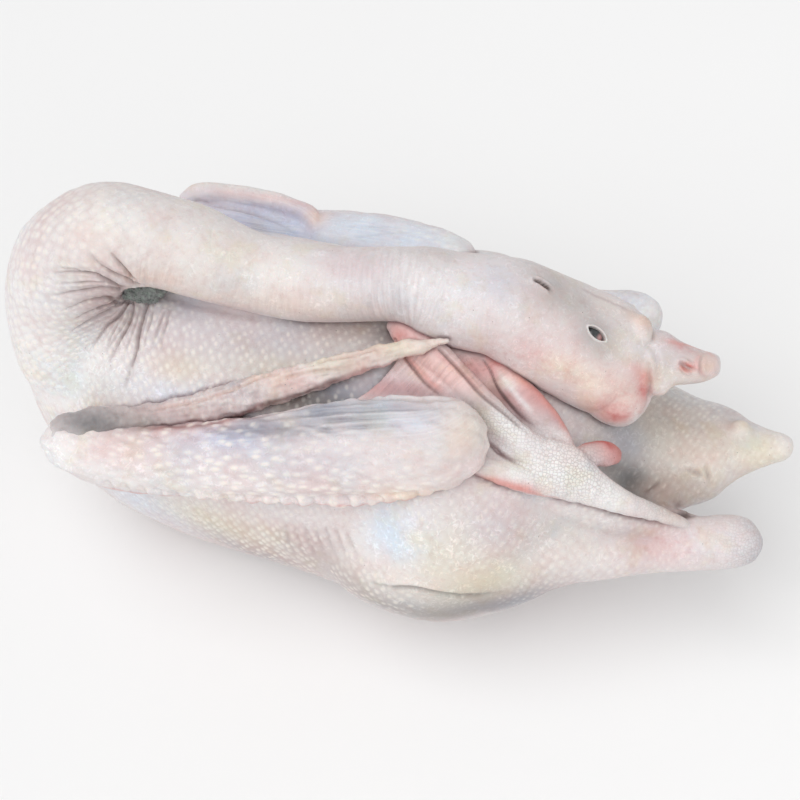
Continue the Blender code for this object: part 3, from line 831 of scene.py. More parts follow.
NECK_ROLL = -40
NECK = [
    (-128, 0, 75, 38, 40, 40, 0),
    (-148, 0, 108, 35, 41, 41, 0),
    (-153, 0, 135, 30, 33, 33, 0),
    (-144.5, 0, 158, 27.5, 29, 29, 0),
    (-126, 0, 171.5, 23.5, 25, 25, 0),
    (-108, 0, 172, 21, 21, 21, 0),
    (-88, 0, 167, 19.8, 19.8, 19.8, 0),
    (-67, 0, 160, 17.8, 17.8, 17.8, 0),
    (-45, 0, 158, 17.8, 17.8, 17.8, 0),
    (-22, 0, 160, 16.8, 16.8, 16.8, 0),
    (0, 0, 164, 16.8, 16.8, 16.8, -40),
    (12, 0, 164, 17.8, 18.8, 19.8, -40),
    (23, 0, 160, 18.8, 20.5, 21.5, -40),
    (45, 0, 158, 19, 21.5, 22.5, -40),
    (65, 0, 149, 20, 24.5, 25.5, -40),
    (87, 0, 138, 20, 26.5, 26.5, -40),
    (99, 0, 133, 18, 23.5, 25.5, -40),
    (110, 0, 128, 13, 17, 18, -40),
    (116, 0, 126, 6, 8, 8, -40),
]
TRUNK = [
    (-180, 0, 112, 12, 14, 16),
    (-166, 0, 92, 34, 34, 46),
    (-140, 0, 76, 51, 64, 64),
    (-100, 0, 70, 64, 79, 71),
    (-50, 0, 69, 76, 75, 71),
    (0, 0, 67, 87, 79, 69),
    (30, 0, 66, 97, 77, 68),
    (62, 0, 67, 86, 66, 63),
    (93, 0, 71, 58, 44, 47),
    (118, 0, 73, 40, 27, 32),
    (138, 0, 76, 29, 18.5, 22),
    (150, 0, 79.5, 25, 15.5, 18),
    (157, 1, 82, 18.5, 12.5, 14),
    (164, 0, 84, 13, 9.5, 10),
    (173, 0, 86, 8.8, 7.5, 7.5),
    (180, 0, 88, 6.2, 5.5, 5.5),
    (183.3, 0, 88.5, 3.5, 3, 3),
]
GLAND = [(150, 1, 88, 6, 6, 6), (158, 2, 92.5, 5.6, 5, 5), (164, 1, 89.5, 4, 4, 4)]
NEAR_DRUMSTICK = [
    (-20, -60, 66, 18, 20, 20),
    (4, -66, 62, 28, 30, 30),
    (26, -68, 62, 30, 32, 32),
    (48, -65, 63, 27, 30, 30),
    (66, -61, 65, 23, 26, 26),
    (84, -58, 67, 18, 20, 20),
    (102, -54, 65, 14.5, 15, 15),
    (125, -48, 62, 11.8, 12, 12),
    (146, -44, 64, 12.2, 12.5, 12.5),
    (161, -41, 66, 12.5, 13, 13),
    (170, -40, 67, 9.5, 10, 10),
    (174, -39, 67, 3, 3, 3),
]
FLANK_FOLD = [
    (66, -52, 102, 8, 8, 8),
    (80, -50, 98, 12, 12, 12),
    (97, -48, 89, 12, 12, 12),
    (114, -46, 81, 10, 10, 10),
    (132, -42, 73, 8, 8, 8),
    (150, -40, 70, 5, 5, 5),
]
FAR_DRUMSTICK = [
    (-50, 56, 68, 18, 22, 20),
    (-20, 66, 66, 28, 32, 30),
    (14, 70, 67, 28, 31, 32),
    (44, 72, 74, 21, 23, 24),
    (68, 72, 80, 15, 16, 16),
    (88, 71, 84, 12, 12.5, 12.5),
    (104, 71, 86, 12.5, 12.5, 12.5),
    (114, 71, 86, 8, 8, 8),
    (117, 71, 86, 3, 3, 3),
]

# Skin that closes the crook behind the grit
CROOK_FILL = [
    (-124, 3, 148, 4, 4, 4),
    (-118, 3, 150, 6, 6, 6),
    (-110, 3, 151.5, 6, 6, 6),
    (-102, 3, 152, 4, 4, 4),
]


def neck_part(start, end, thin_start, thin_end):
    """The neck between two rows. Each thinned end slips inside the piece that it meets."""
    rows = smooth_rows(NECK, 2)[start * 2 : end * 2 + 1]
    for i, share in enumerate((1.0, 0.35)):
        rows[i, 3:6] -= thin_start * share
        rows[-1 - i, 3:6] -= thin_end * share
    return limb([tuple(row) for row in rows], up=ACROSS, sides=56)


# Creases that run out from the crook of the neck
CROOK_FOLDS = [
    [
        (-113.4, -20.3, 164.7),
        (-118.0, -22.7, 170.8),
        (-123.1, -23.9, 174.3),
        (-128.5, -22.8, 177.2),
        (-133, -21, 181.6),
    ],
    [(-114.7, -21.9, 170.0), (-117.1, -22.5, 175.2), (-120.0, -22.0, 179.2), (-125.3, -19.7, 185.2)],
    [
        (-118.8, -19.1, 159.9),
        (-121.9, -22.4, 164.7),
        (-125.6, -23.7, 169.2),
        (-130.6, -24.9, 173.4),
        (-137.7, -24.3, 172.0),
        (-144.3, -25.1, 171.7),
        (-152, -24.4, 168.3),
    ],
    [
        (-120.4, -16.6, 155.0),
        (-123.5, -22.4, 162.5),
        (-127.4, -24.1, 164.2),
        (-130.5, -24.7, 163.6),
        (-136.5, -25.2, 161.7),
        (-146.4, -27.9, 160.2),
        (-152.5, -27.5, 156.7),
    ],
    [
        (-121.8, -11.9, 145.2),
        (-125.0, -14.6, 147.4),
        (-126.8, -19.5, 152.3),
        (-129.1, -22.8, 156.1),
        (-137.4, -25.4, 154.0),
        (-141.3, -27.9, 153.3),
        (-147.7, -28.6, 148.9),
    ],
    [
        (-125.3, -14.1, 146.2),
        (-127.7, -18.1, 148.0),
        (-132.1, -22.2, 147.7),
        (-138.0, -26.2, 146.8),
        (-142.2, -28.6, 144.7),
    ],
    [
        (-122.1, -12.5, 144.5),
        (-127.0, -16.8, 144.8),
        (-132.0, -21.1, 143.2),
        (-136.9, -24.4, 141.1),
        (-144.5, -29.1, 136.8),
    ],
    [
        (-121.3, -12.3, 144.4),
        (-122.6, -15.1, 142.5),
        (-125.5, -19.2, 139.7),
        (-129.7, -22.3, 136.9),
        (-132.0, -25.0, 134.0),
        (-136.6, -31.2, 128.4),
    ],
    [
        (-119.5, -11.9, 144.3),
        (-119.2, -17.4, 142.3),
        (-119.7, -22.1, 139.2),
        (-122.9, -29.5, 133.9),
        (-126.9, -36.8, 126.4),
    ],
    [
        (-112.7, -12.6, 145.7),
        (-113.6, -21.7, 141.4),
        (-113.9, -26.9, 138.3),
        (-113.7, -32.7, 134.6),
        (-116.7, -40.9, 124.2),
        (-119.5, -46, 117),
    ],
]
# Weaker lines among them
CROOK_LINES = [
    [
        (-124.9, -23.4, 167.8),
        (-128.6, -24.6, 172.1),
        (-135.3, -24.2, 173.0),
        (-142.0, -24.5, 173.4),
        (-149.4, -23.3, 171.4),
    ],
    [(-127, -24, 166.5), (-133, -25, 167), (-141, -26.5, 166.5), (-149, -26, 164)],
    [(-104.1, -17.6, 145.4), (-105.2, -23.3, 142.7), (-106.0, -28.5, 139.6), (-106.6, -32.9, 136.2)],
    [(-101.6, -16.5, 146.0), (-101.9, -23.2, 143.2), (-103.0, -29.3, 139.6), (-101.1, -34.7, 136.0)],
    [(-120.5, -15, 143.5), (-121.5, -21, 139.5), (-125, -27, 135), (-130, -34, 128)],
    [(-116, -14, 143.5), (-116.5, -21, 140.5), (-117.5, -28, 137), (-120.5, -36, 129)],
    [(-124.5, -16, 145.5), (-130, -21.5, 144.5), (-137, -26, 142), (-143, -29, 138.5)],
    [(-110, -13, 146), (-109.5, -20, 143), (-110.5, -27, 139), (-110.5, -35, 134)],
    [(-124.8, -22.1, 138.9), (-127.3, -28.4, 134.6), (-128.6, -34.5, 128.9)],
]
BELLY_CREASE = [
    (5, -94.6, 70),
    (12.5, -96, 71),
    (21.5, -96, 73),
    (30, -96, 73),
    (39, -95, 71),
    (49, -92, 68.5),
    (61, -88, 68),
]
BELLY_LINES = [
    [
        (-40 + 4.6 * k, -70, 72 + 1.2 * k),
        (-37.5 + 4.8 * k, -79, 72 + 1.2 * k),
        (-33 + 5 * k, -89, 72 + 1.2 * k),
    ]
    for k in range(7)
]
# Where the neck lies on the back, and where the thigh's end meets the tail
NECK_SEAM = [(-113.5, -6.5, 145), (-99, -9, 145), (-80, -12, 145), (-61, -13.4, 145), (-45, -13, 145)]
THIGH_SEAM = [(135, -43, 82), (140, -42, 82), (145.7, -38.8, 81.4), (152, -35.5, 80.6)]
VENT_LINES = [
    [(119, -41, 90), (121.7, -37.6, 90), (125, -33, 90), (128, -28.4, 90)],
    [(144.6, -21, 94), (146.4, -26, 94), (148.5, -30.3, 94), (150, -33.4, 94)],
    [(137.3, -26, 95), (142, -27.6, 95), (145.7, -30.4, 95)],
]
# Tones of the neck, which the body and the neck share where they meet
NECK_TINTS = [
    ((-165, -15, 150), (22, 30, 50), "pale", 0.8),
    ((-150, -10, 185), (26, 26, 16), "skin", 0.8),
    ((-128, -10, 188), (22, 22, 12), "cream", 0.7),
    ((-142, -36, 135), (16, 14, 20), "frost", 0.6),
    # dusk here is painted shade in the crook beside the grit
    ((-127, -21, 152), (16, 12, 18), "dusk", 0.75),
    ((-95, -10, 175), (22, 22, 16), "cream", 0.7),
    ((-60, -8, 172), (40, 12, 12), "cream", 0.7),
    # cream along the neck's lower near side, in this row and the next, is painted light where the neck turns
    # away from the lamp
    ((-72, -16, 161.5), (50, 6, 6), "cream", 0.8),
    ((-30, -11, 160), (24, 6, 6), "cream", 0.5),
    ((-50, -17, 158), (50, 6, 10), "peach", 0.35),
]
# Places whose faces are split, with their reach
BODY_FINE = [
    ((-124, -24, 152), (34, 26, 38)),
    ((-126, -24, 152), (28, 22, 32)),
    ((136, -32, 88), (30, 16, 16)),
    ((-20, -80, 62), (90, 30, 26)),
    ((-152, -34, 108), (28, 32, 38)),
]
# Folds: lines, width and depth in mm, mark of painted shade, lip, taper and mouth
BODY_FOLDS = [
    (CROOK_FOLDS, 1.6, 1.1, 0.22, 0.5, 0.8, 0.9),
    (CROOK_FOLDS, 0.60, 1.4, 0.85, 0.3, 0.6, 0.9),
    (CROOK_LINES, 0.65, 0.8, 0.55, 0.5, 0.6, 0.3),
    ([NECK_SEAM], 1.6, 1.2, 0.30),
    ([BELLY_CREASE], 0.9, 1.3, 0.38, 0.7),
    (BELLY_LINES, 1.0, 0.5, 0.16, 0.5),
    (VENT_LINES, 1.1, 1.3, 0.6),
    ([THIGH_SEAM], 1.4, 1.4, 0.8),
]
# Lines of tone: lines, width in mm, tone and strength
BODY_TRACES = [
    # dusk along the crook folds is painted shade in their bottoms
    (CROOK_FOLDS, 2.6, "dusk", 0.30),
    ([[(-122, -12, 166), (-113, -15, 164), (-103, -14, 163), (-92, -14, 162)]], 5.0, "peach", 0.6),
    # slate in the belly crease and dusk along the belly lines are painted shade
    ([BELLY_CREASE], 1.5, "slate", 0.4),
    (BELLY_LINES, 1.2, "dusk", 0.35),
    # fold and shade under the shank, at its end and where the tail meets the thigh are painted shadow
    ([[(99.6, -59, 100), (110.7, -55.3, 95), (122, -50.9, 89), (135.5, -44.8, 82)]], 2.0, "fold", 0.6),
    ([[(133.7, -44, 82), (137.3, -42, 81), (141, -41, 81)]], 2.2, "shade", 0.9),
    ([[(130, -34, 82), (137.3, -36.7, 80), (144, -37, 80), (150, -35, 80)]], 2.2, "fold", 0.55),
]
# Patches of tone: place, reach in mm, tone and strength
BODY_TINTS = [
    ((-150, -36, 112), (28, 25, 30), "white", 0.9),
    ((-128, -48, 118), (16, 14, 14), "frost", 0.8),
    ((-90, -34, 138), (22, 16, 12), "lilac", 0.7),
    ((-60, -25, 141), (28, 14, 10), "lilac", 0.8),
    ((-92, -48, 125), (26, 14, 8), "blue_white", 0.7),
    ((-50, -34, 135), (26, 9, 7), "fat", 0.45),
    ((-60, -28, 140), (40, 14, 10), "grey", 0.4),
    ((-92, -38, 132), (14, 8, 8), "fat", 0.6),
    ((-38, -40, 134), (12, 8, 7), "fat", 0.55),
    ((-20, -16, 143), (22, 14, 8), "grey", 0.75),
    # these seven patches are painted shade on the flank under the hand and under the neck
    ((-22, -44, 138), (18, 9, 8), "slate_blue", 0.95),
    ((0, -38, 138), (12, 9, 8), "blue_grey", 0.8),
    ((-44, -50, 133), (15, 7, 7), "shade", 0.95),
    ((-30, -47, 132), (13, 5, 6), "shade", 0.7),
    ((-17, -46, 132), (10, 4, 5), "slate", 0.5),
    ((-3, -14, 145), (8, 8, 8), "shade", 0.6),
    ((-95, -14, 148), (14, 8, 6), "blue_grey", 0.65),
    ((-108, -60, 57), (30, 12, 16), "blue_white", 0.8),
    ((-70, -72, 62), (40, 12, 14), "fat", 0.75),
    # dusk low on the belly is painted shade of its underside
    ((-50, -70, 45), (40, 14, 16), "dusk", 0.7),
    ((-22, -84, 68), (20, 12, 16), "dusk", 0.5),
    ((-2, -80, 82), (12, 10, 22), "cream", 0.8),
    ((14, -86, 92), (18, 14, 18), "blue_white", 1.0),
    ((40, -84, 98), (12, 14, 14), "fat", 0.5),
    ((52, -80, 104), (16, 12, 12), "lilac", 0.5),
    ((30, -90, 84), (7, 6, 6), "fat", 0.7),
    ((22, -88, 98), (5, 5, 5), "fat", 0.6),
    ((44, -92, 66), (10, 8, 5), "fat", 0.4),
    ((38, -94, 73), (14, 8, 4.5), "clay", 0.8),
    ((0, -90, 66), (18, 9, 10), "drab", 0.35),
    ((70, -78, 95), (18, 12, 12), "dusk", 0.35),
    ((52, -90, 76), (34, 14, 14), "fat", 0.9),
    ((20, -94, 74), (20, 12, 12), "cream", 0.8),
    ((95, -68, 82), (24, 12, 14), "cream", 0.6),
    ((131, -55, 76), (22, 12, 12), "rose", 0.45),
    ((158, -46, 74), (16, 12, 14), "pale", 0.7),
    ((171, -43, 66), (8, 12, 12), "blue_grey", 0.5),
    # dim grey and slate blue low on the belly are painted shade of its underside
    ((44, -94, 56), (56, 20, 13), "dim_grey", 0.95),
    ((70, -86, 56), (22, 14, 10), "slate_blue", 0.5),
    ((118, -8, 104), (38, 30, 22), "clay", 0.95),
    # these six patches are painted shade in the hollow between the shank and the tail
    ((104, -14, 108), (16, 16, 12), "blue_grey", 0.5),
    ((107, -22, 101), (12, 9, 9), "blue_grey", 0.6),
    ((111.5, -34, 91.5), (13, 8, 9), "slate", 0.95),
    ((102, -34, 101), (8, 6, 6), "shade", 0.5),
    ((117, -36, 89), (12, 7, 7), "shade", 0.7),
    ((122, -38, 86), (12, 7, 7), "dim_grey", 0.85),
    ((130, -31, 86), (13, 10, 8), "drab", 0.8),
    ((141, -28, 84), (14, 8, 7), "drab", 0.55),
    # these four patches are painted shadow of the shank and painted shade where the rump meets the hock
    ((104, -53, 82), (16, 6, 6), "dusk", 0.75),
    ((132, -40, 74), (9, 4, 5), "fold", 0.4),
    ((88, -51, 88), (14, 6, 6), "dusk", 0.4),
    ((140, -36, 84), (14, 8, 6), "dusk", 0.8),
    ((142, -12, 94), (18, 16, 9), "beige", 0.55),
    ((130, 6, 101), (14, 9, 6), "tan", 0.7),
    ((78, -62, 88), (26, 14, 14), "grey", 0.4),
    ((172, -2, 92), (14, 14, 8), "cream", 0.5),
    ((168, -8, 88), (16, 8, 8), "fat", 0.7),
    ((153, 2.5, 98), (3.2, 4.5, 4), "tan", 0.9),
    ((154, 4, 99), (2, 3.5, 3), "dusk", 0.6),
    ((159.5, 4, 100), (4.6, 5, 4.5), "horn", 0.9),
    ((122, 10, 106), (16, 10, 8), "tan", 0.45),
    ((70, 20, 130), (50, 30, 25), "skin", 0.6),
    ((-150, 36, 112), (28, 25, 30), "white", 0.8),
    ((-108, 62, 57), (30, 14, 16), "blue_white", 0.7),
    ((-66, 76, 66), (40, 14, 16), "fat", 0.7),
    # dusk low down on the far side is painted shade of the underside
    ((-50, 74, 42), (40, 16, 16), "dusk", 0.7),
    ((-20, 86, 74), (20, 14, 16), "dusk", 0.5),
    ((16, 92, 84), (20, 14, 18), "blue_white", 0.8),
    ((46, 88, 70), (26, 14, 14), "fat", 0.8),
    # dim grey low down on the far side is painted shade of the underside
    ((30, 92, 46), (50, 20, 12), "dim_grey", 0.6),
    ((88, 76, 82), (18, 12, 12), "rose", 0.45),
    ((60, 50, 100), (24, 20, 14), "beige", 0.5),
    ((105, 71, 92), (18, 14, 16), "blue_white", 0.9),
    ((112, 68, 95), (8, 10, 8), "white", 0.8),
]
# Where follicles, scales and the other marks show: place, reach in mm and strength
BODY_MARKS = {
    "dots": [
        ((0, 0, 80), (400, 200, 200), 0.40),
        ((-110, -34, 132), (50, 30, 26), 0.3),
        ((-112, -26, 138), (16, 14, 10), 0.6),
        ((-85, -26, 139), (34, 14, 12), 0.45),
        ((-165, 0, 150), (24, 60, 60), 0.8),
        ((-150, -40, 105), (30, 26, 30), 1.0),
        ((-150, 0, 180), (40, 40, 40), 0.5),
        ((-50, -40, 130), (60, 30, 30), 0.3),
        ((-40, -80, 55), (70, 30, 26), 1.0),
        ((-40, 80, 58), (80, 30, 30), 1.0),
        ((-150, 40, 105), (30, 26, 30), 1.0),
        ((40, 80, 90), (50, 30, 20), 0.5),
        ((60, -80, 80), (70, 30, 30), 0.35),
        ((136, 6, 102), (34, 22, 14), 0.45),
        ((112, -22, 100), (26, 24, 24), -0.6),
        ((-80, 0, 165), (26, 40, 30), -0.8),
        ((165, -44, 66), (16, 20, 20), -0.85),
        ((2, -86, 95), (20, 14, 18), -0.5),
    ],
    "scales": [((168, -42, 66), (16, 18, 18), 0.9)],
    "specks": [((164, -8, 88), (18, 12, 10), 1.0), ((100, -30, 100), (30, 20, 20), 0.3)],
    "rings": [((-108, -18, 168), (16, 16, 16), 0.5), ((-150, 0, 150), (26, 50, 46), 0.25)],
    "frost": [
        ((45, -84, 90), (50, 26, 26), 0.9),
        ((-90, -48, 125), (40, 20, 14), 0.7),
        ((-130, -36, 130), (24, 24, 24), 0.6),
        ((110, -20, 100), (40, 30, 26), 0.6),
        ((44, -92, 60), (46, 14, 12), 0.7),
        ((-100, -60, 60), (40, 20, 20), 0.5),
    ],
    "flush": [
        ((132, -54, 76), (22, 12, 12), 0.35),
        ((70, -78, 95), (16, 12, 12), 0.25),
        ((-20, -70, 60), (50, 20, 20), 0.1),
    ],
}


def make_body():
    """Breast, belly, back, rump and tail with both thighs and the root of the neck."""
    limbs = [
        limb(TRUNK, sides=72, upright=True),
        neck_part(0, 7, 0, 3.0),
        limb(GLAND),
        limb(NEAR_DRUMSTICK),
        limb(FLANK_FOLD),
        limb(FAR_DRUMSTICK),
        limb(CROOK_FILL),
    ]
    body = Skin("body_skin", limbs, 2.0, 3)
    for place, reach in BODY_FINE:
        body.refine(place, reach)
    body.push(0.5 * lumps(body.points, 34, 1) + 0.15 * lumps(body.points, 11, 2))
    body.write()
    # hollow behind the grit
    body.swell((-120, -16, 150), (9, 9, 9), -1.6)
    body.write()
    body.furrows(BODY_FOLDS)
    body.write()
    # nipple of the oil gland
    body.swell((159.5, 4, 98.5), (4.6, 5, 4.5), 1.9)
    body.points[:, 2] = np.maximum(body.points[:, 2], FLOOR_GAP)
    body.write()
    tint = body.paint("skin", NECK_TINTS + BODY_TINTS)
    body.traces(tint, BODY_TRACES)
    return body.finish(tint, **BODY_MARKS)


# Neck and head

BILL = [
    (98, 0, 136, 10, 10, 10),
    (112, 0, 136, 11, 13.5, 14.5),
    (118, 0, 136, 11, 13.6, 15.4),
    (121.5, 0, 136, 10.5, 12.2, 14.4),
    (124.2, 0, 136, 10, 10.8, 10.2),
    (130.5, 0, 136, 9.2, 8.6, 8.6),
    (136, 0, 136, 8.4, 7.4, 7),
    (141, 0, 136.5, 7.4, 6.4, 4.4),
    (143.6, 0, 137, 5, 5, 2.4),
]
KNOB = [
    (83, -5, 130, 9, 9, 9),
    (93, -8, 126, 13, 14, 14),
    (103, -9, 122, 14, 16, 16),
    (111, -9, 120, 10, 12, 12),
    (115, -9, 119, 4, 5, 5),
]
JAW_CORNER = [
    (101, 8, 149.5, 4, 4, 4),
    (106, 6.5, 150.5, 5.4, 5.4, 5.4),
    (107.6, 2.5, 148.5, 5, 5, 5),
    (107.6, -1.5, 145, 3.5, 3.5, 3.5),
]
EYE = (88.8, -8.2, 158.2)
EYE_AXIS = (8.0, -1.9, -5.4)
EAR_SLIT = [(59.0, 2.6, 174.9), (61.6, 2.0, 173.9), (64, 1.4, 172.8), (66.4, 0.7, 171.7)]
EYE_HALF_LENGTH = 4.7
EYE_HALF_HEIGHT = 1.9
EYEBALL_RADIUS = 5.6
EYEBALL_DEPTH = 7.4
# Shallow rings where the neck meets the head
NECK_RINGS = [
    [
        (-5.0, 8.3, 177.8),
        (-5.9, -3.9, 179.3),
        (-5.4, -11.7, 175.0),
        (-2.5, -16.1, 167.5),
        (-1.1, -13.8, 154.2),
    ],
    [(-0.2, 5.9, 179.8), (-0.2, -6.1, 179.5), (1.4, -13.1, 174.6), (4.8, -17.3, 165.7), (7.5, -17.2, 157.1)],
    [(-12.7, 2.0, 178.4), (-13.5, -8.2, 176.2), (-11.4, -15.3, 168.2), (-9.9, -14.5, 154.7)],
]
# Where the bill leaves the face, under the knob and behind the jaw's corner
BILL_ROOT = [
    (108.2, -2, 149.4),
    (113, -2.4, 146.1),
    (115.8, -6.7, 144.2),
    (116.4, -10.1, 140),
    (116.2, -12, 131),
]
KNOB_EDGE = [(112.6, -8.7, 143), (113.6, -11.6, 136), (114.4, -13.0, 125), (113, -15, 118)]
JAW_FOLD = [(109.3, 8, 156.5), (112, 5, 153.5), (113, 2.5, 149), (112, -1, 147)]
NOSTRIL = [(126.8, -6.6, 144.0), (129.6, -7.7, 142.7), (132.3, -8.0, 142.2)]
BILL_LIP = [(137.6, -8, 137.5), (135.4, -7.7, 141.5), (135.2, -4.5, 144.2), (136.4, 0, 145.6)]
# Humps and dents of socket, cheek and brow: place and reach in mm, and height
HEAD_SWELLS = [
    (EYE, (9, 9, 8), -0.9),
    ((72, -20, 145), (14, 9, 10), 0.8),
    ((91, -23, 132), (7, 6, 8), 1.2),
    ((66.5, 3.5, 173), (4, 2.6, 3), 0.8),
    ((56, 8, 173), (14, 12, 10), 2.6),
    ((88, 10, 160), (13, 11, 12), -2.4),
]
FAR_CHEEK_EDGE = [(78.3, 10.3, 165.5), (85.6, 11.2, 160.7), (93.9, 11.1, 157.3), (101.3, 10.1, 154.5)]
KNOB_STAINS = [
    [(111.3, -13.8, 133), (112.4, -14.8, 128)],
    [(98, -24, 124), (103, -24, 122.5), (107, -22, 123)],
]
HEAD_TRACES = [
    ([[(55.5, -20.3, 158), (61.8, -21.1, 155), (67.7, -21.6, 152.7)]], 3.5, "rose", 0.35),
    ([[(66, -22, 154), (81.2, -21.7, 146.3), (94, -22.3, 137)]], 4.5, "horn", 0.35),
    ([[(90, -24.9, 132.9), (95.6, -23.6, 127), (103, -23.8, 123.3), (109, -21, 124)]], 4.5, "salmon", 0.40),
    ([[(104, -10, 145), (108, -12, 141), (111, -13.5, 134), (112.2, -14.6, 127)]], 3.4, "salmon", 0.40),
    (KNOB_STAINS, 1.5, "red", 0.4),
    # white along the neck's underside is painted light where the neck turns away from the lamp
    ([[(-74, -17, 146), (-52, -16, 146), (-29, -15, 146), (-7, -12, 148)]], 4.0, "white", 0.45),
    # dusk along the far cheek's edge is painted shade
    ([FAR_CHEEK_EDGE], 1.0, "dusk", 0.6),
    ([[(118, 3, 147), (127, 3, 146), (136.2, 4, 144), (141, 0, 143)]], 1.5, "salmon", 0.6),
    ([[(134, 0.8, 144), (133.2, -4.8, 144.1), (135, -6.5, 140.4), (138, -6.9, 137.5)]], 1.1, "rose", 0.45),
]
HEAD_TINTS = [
    ((-20, -6, 176), (24, 14, 10), "lilac", 0.5),
    ((13, 4, 181), (12, 8, 6), "grey", 0.35),
    ((18, -10, 176), (20, 12, 10), "pale", 0.7),
    ((45, -4, 178), (18, 10, 8), "lilac", 0.6),
    ((60, -20, 150), (24, 8, 12), "pink", 0.5),
    ((66, 0, 171), (10, 9, 6), "grey", 0.8),
    ((57, 5, 174), (9, 8, 6), "grey", 0.6),
    ((78, 0, 167), (12, 10, 7), "grey", 0.75),
    (EYE, (9, 9, 8), "dim_grey", 0.75),
    ((93, -13, 152), (7, 6, 6), "grey", 0.7),
    ((92, 9, 160), (10, 7, 6), "beige", 0.4),
    ((74, -22, 146), (14, 8, 9), "peach", 0.6),
    ((90, -20, 138), (14, 8, 10), "peach", 0.55),
    ((100, -19, 130), (14, 9, 10), "peach", 0.7),
    ((98, -24, 126), (9, 7, 7), "pink", 0.5),
    ((112.5, -14, 129), (2.6, 4, 5), "red", 0.6),
    ((111, -11, 138), (3, 4, 5), "salmon", 0.45),
    ((103, -25, 121), (6, 4, 3), "red", 0.45),
    ((94, -25, 121), (7, 4, 4), "salmon", 0.45),
    ((88, -22, 130), (4, 4, 4), "rose", 0.3),
    ((106.5, 6, 156), (5, 4, 5), "peach", 0.85),
    ((109, 5, 154), (3.5, 4, 6), "tan", 0.9),
    ((101, 9, 152), (6, 4, 5), "tan", 0.7),
    ((118, -4, 140), (12, 12, 10), "grey", 0.5),
    ((130, -4, 140), (12, 8, 8), "grey", 0.4),
    ((118, 0, 144), (9, 10, 8), "lilac", 0.4),
    ((122, -12, 131), (9, 6, 7), "cream", 0.7),
    ((128, 2, 146.5), (12, 3, 2.5), "rose", 0.65),
    ((137, -3, 142), (5, 5, 4), "tan", 0.8),
    ((128, -9, 137), (9, 4, 4), "cream", 0.6),
    ((129.6, -7.6, 142.9), (3.6, 2.4, 2.2), "salmon", 0.8),
    ((129.6, -7.6, 142.9), (2.8, 1.6, 1.4), "red", 1.0),
    ((133.6, -6, 144.4), (2.2, 2, 1.6), "pink", 0.7),
    ((141, -4, 139), (3, 4, 5), "pink", 0.7),
]
HEAD_MARKS = {
    "dots": [((-110, 0, 170), (30, 40, 40), 0.5), ((-60, 10, 165), (50, 14, 20), 0.25)],
    "rings": [
        ((2, -10, 168), (22, 20, 22), 0.85),
        ((-60, -14, 160), (60, 12, 16), 0.35),
        ((45, -16, 160), (26, 12, 16), 0.3),
    ],
    "frost": [
        ((75, -14, 155), (40, 24, 26), 0.5),
        ((-60, -10, 165), (60, 20, 14), 0.3),
        ((125, -6, 140), (18, 12, 10), 0.6),
    ],
    "specks": [((70, -5, 165), (30, 20, 20), 0.25)],
    "flush": [
        ((103, -23, 122), (12, 7, 7), 0.9),
        ((112, -14, 132), (5, 6, 9), 0.9),
        ((102, -20, 132), (12, 9, 9), 0.45),
        ((128, 2, 147), (14, 4, 3), 0.6),
        ((62, -22, 150), (24, 9, 10), 0.40),
        ((86, -22, 144), (16, 8, 8), 0.25),
        ((60, -8, 165), (60, 20, 20), 0.12),
    ],
}


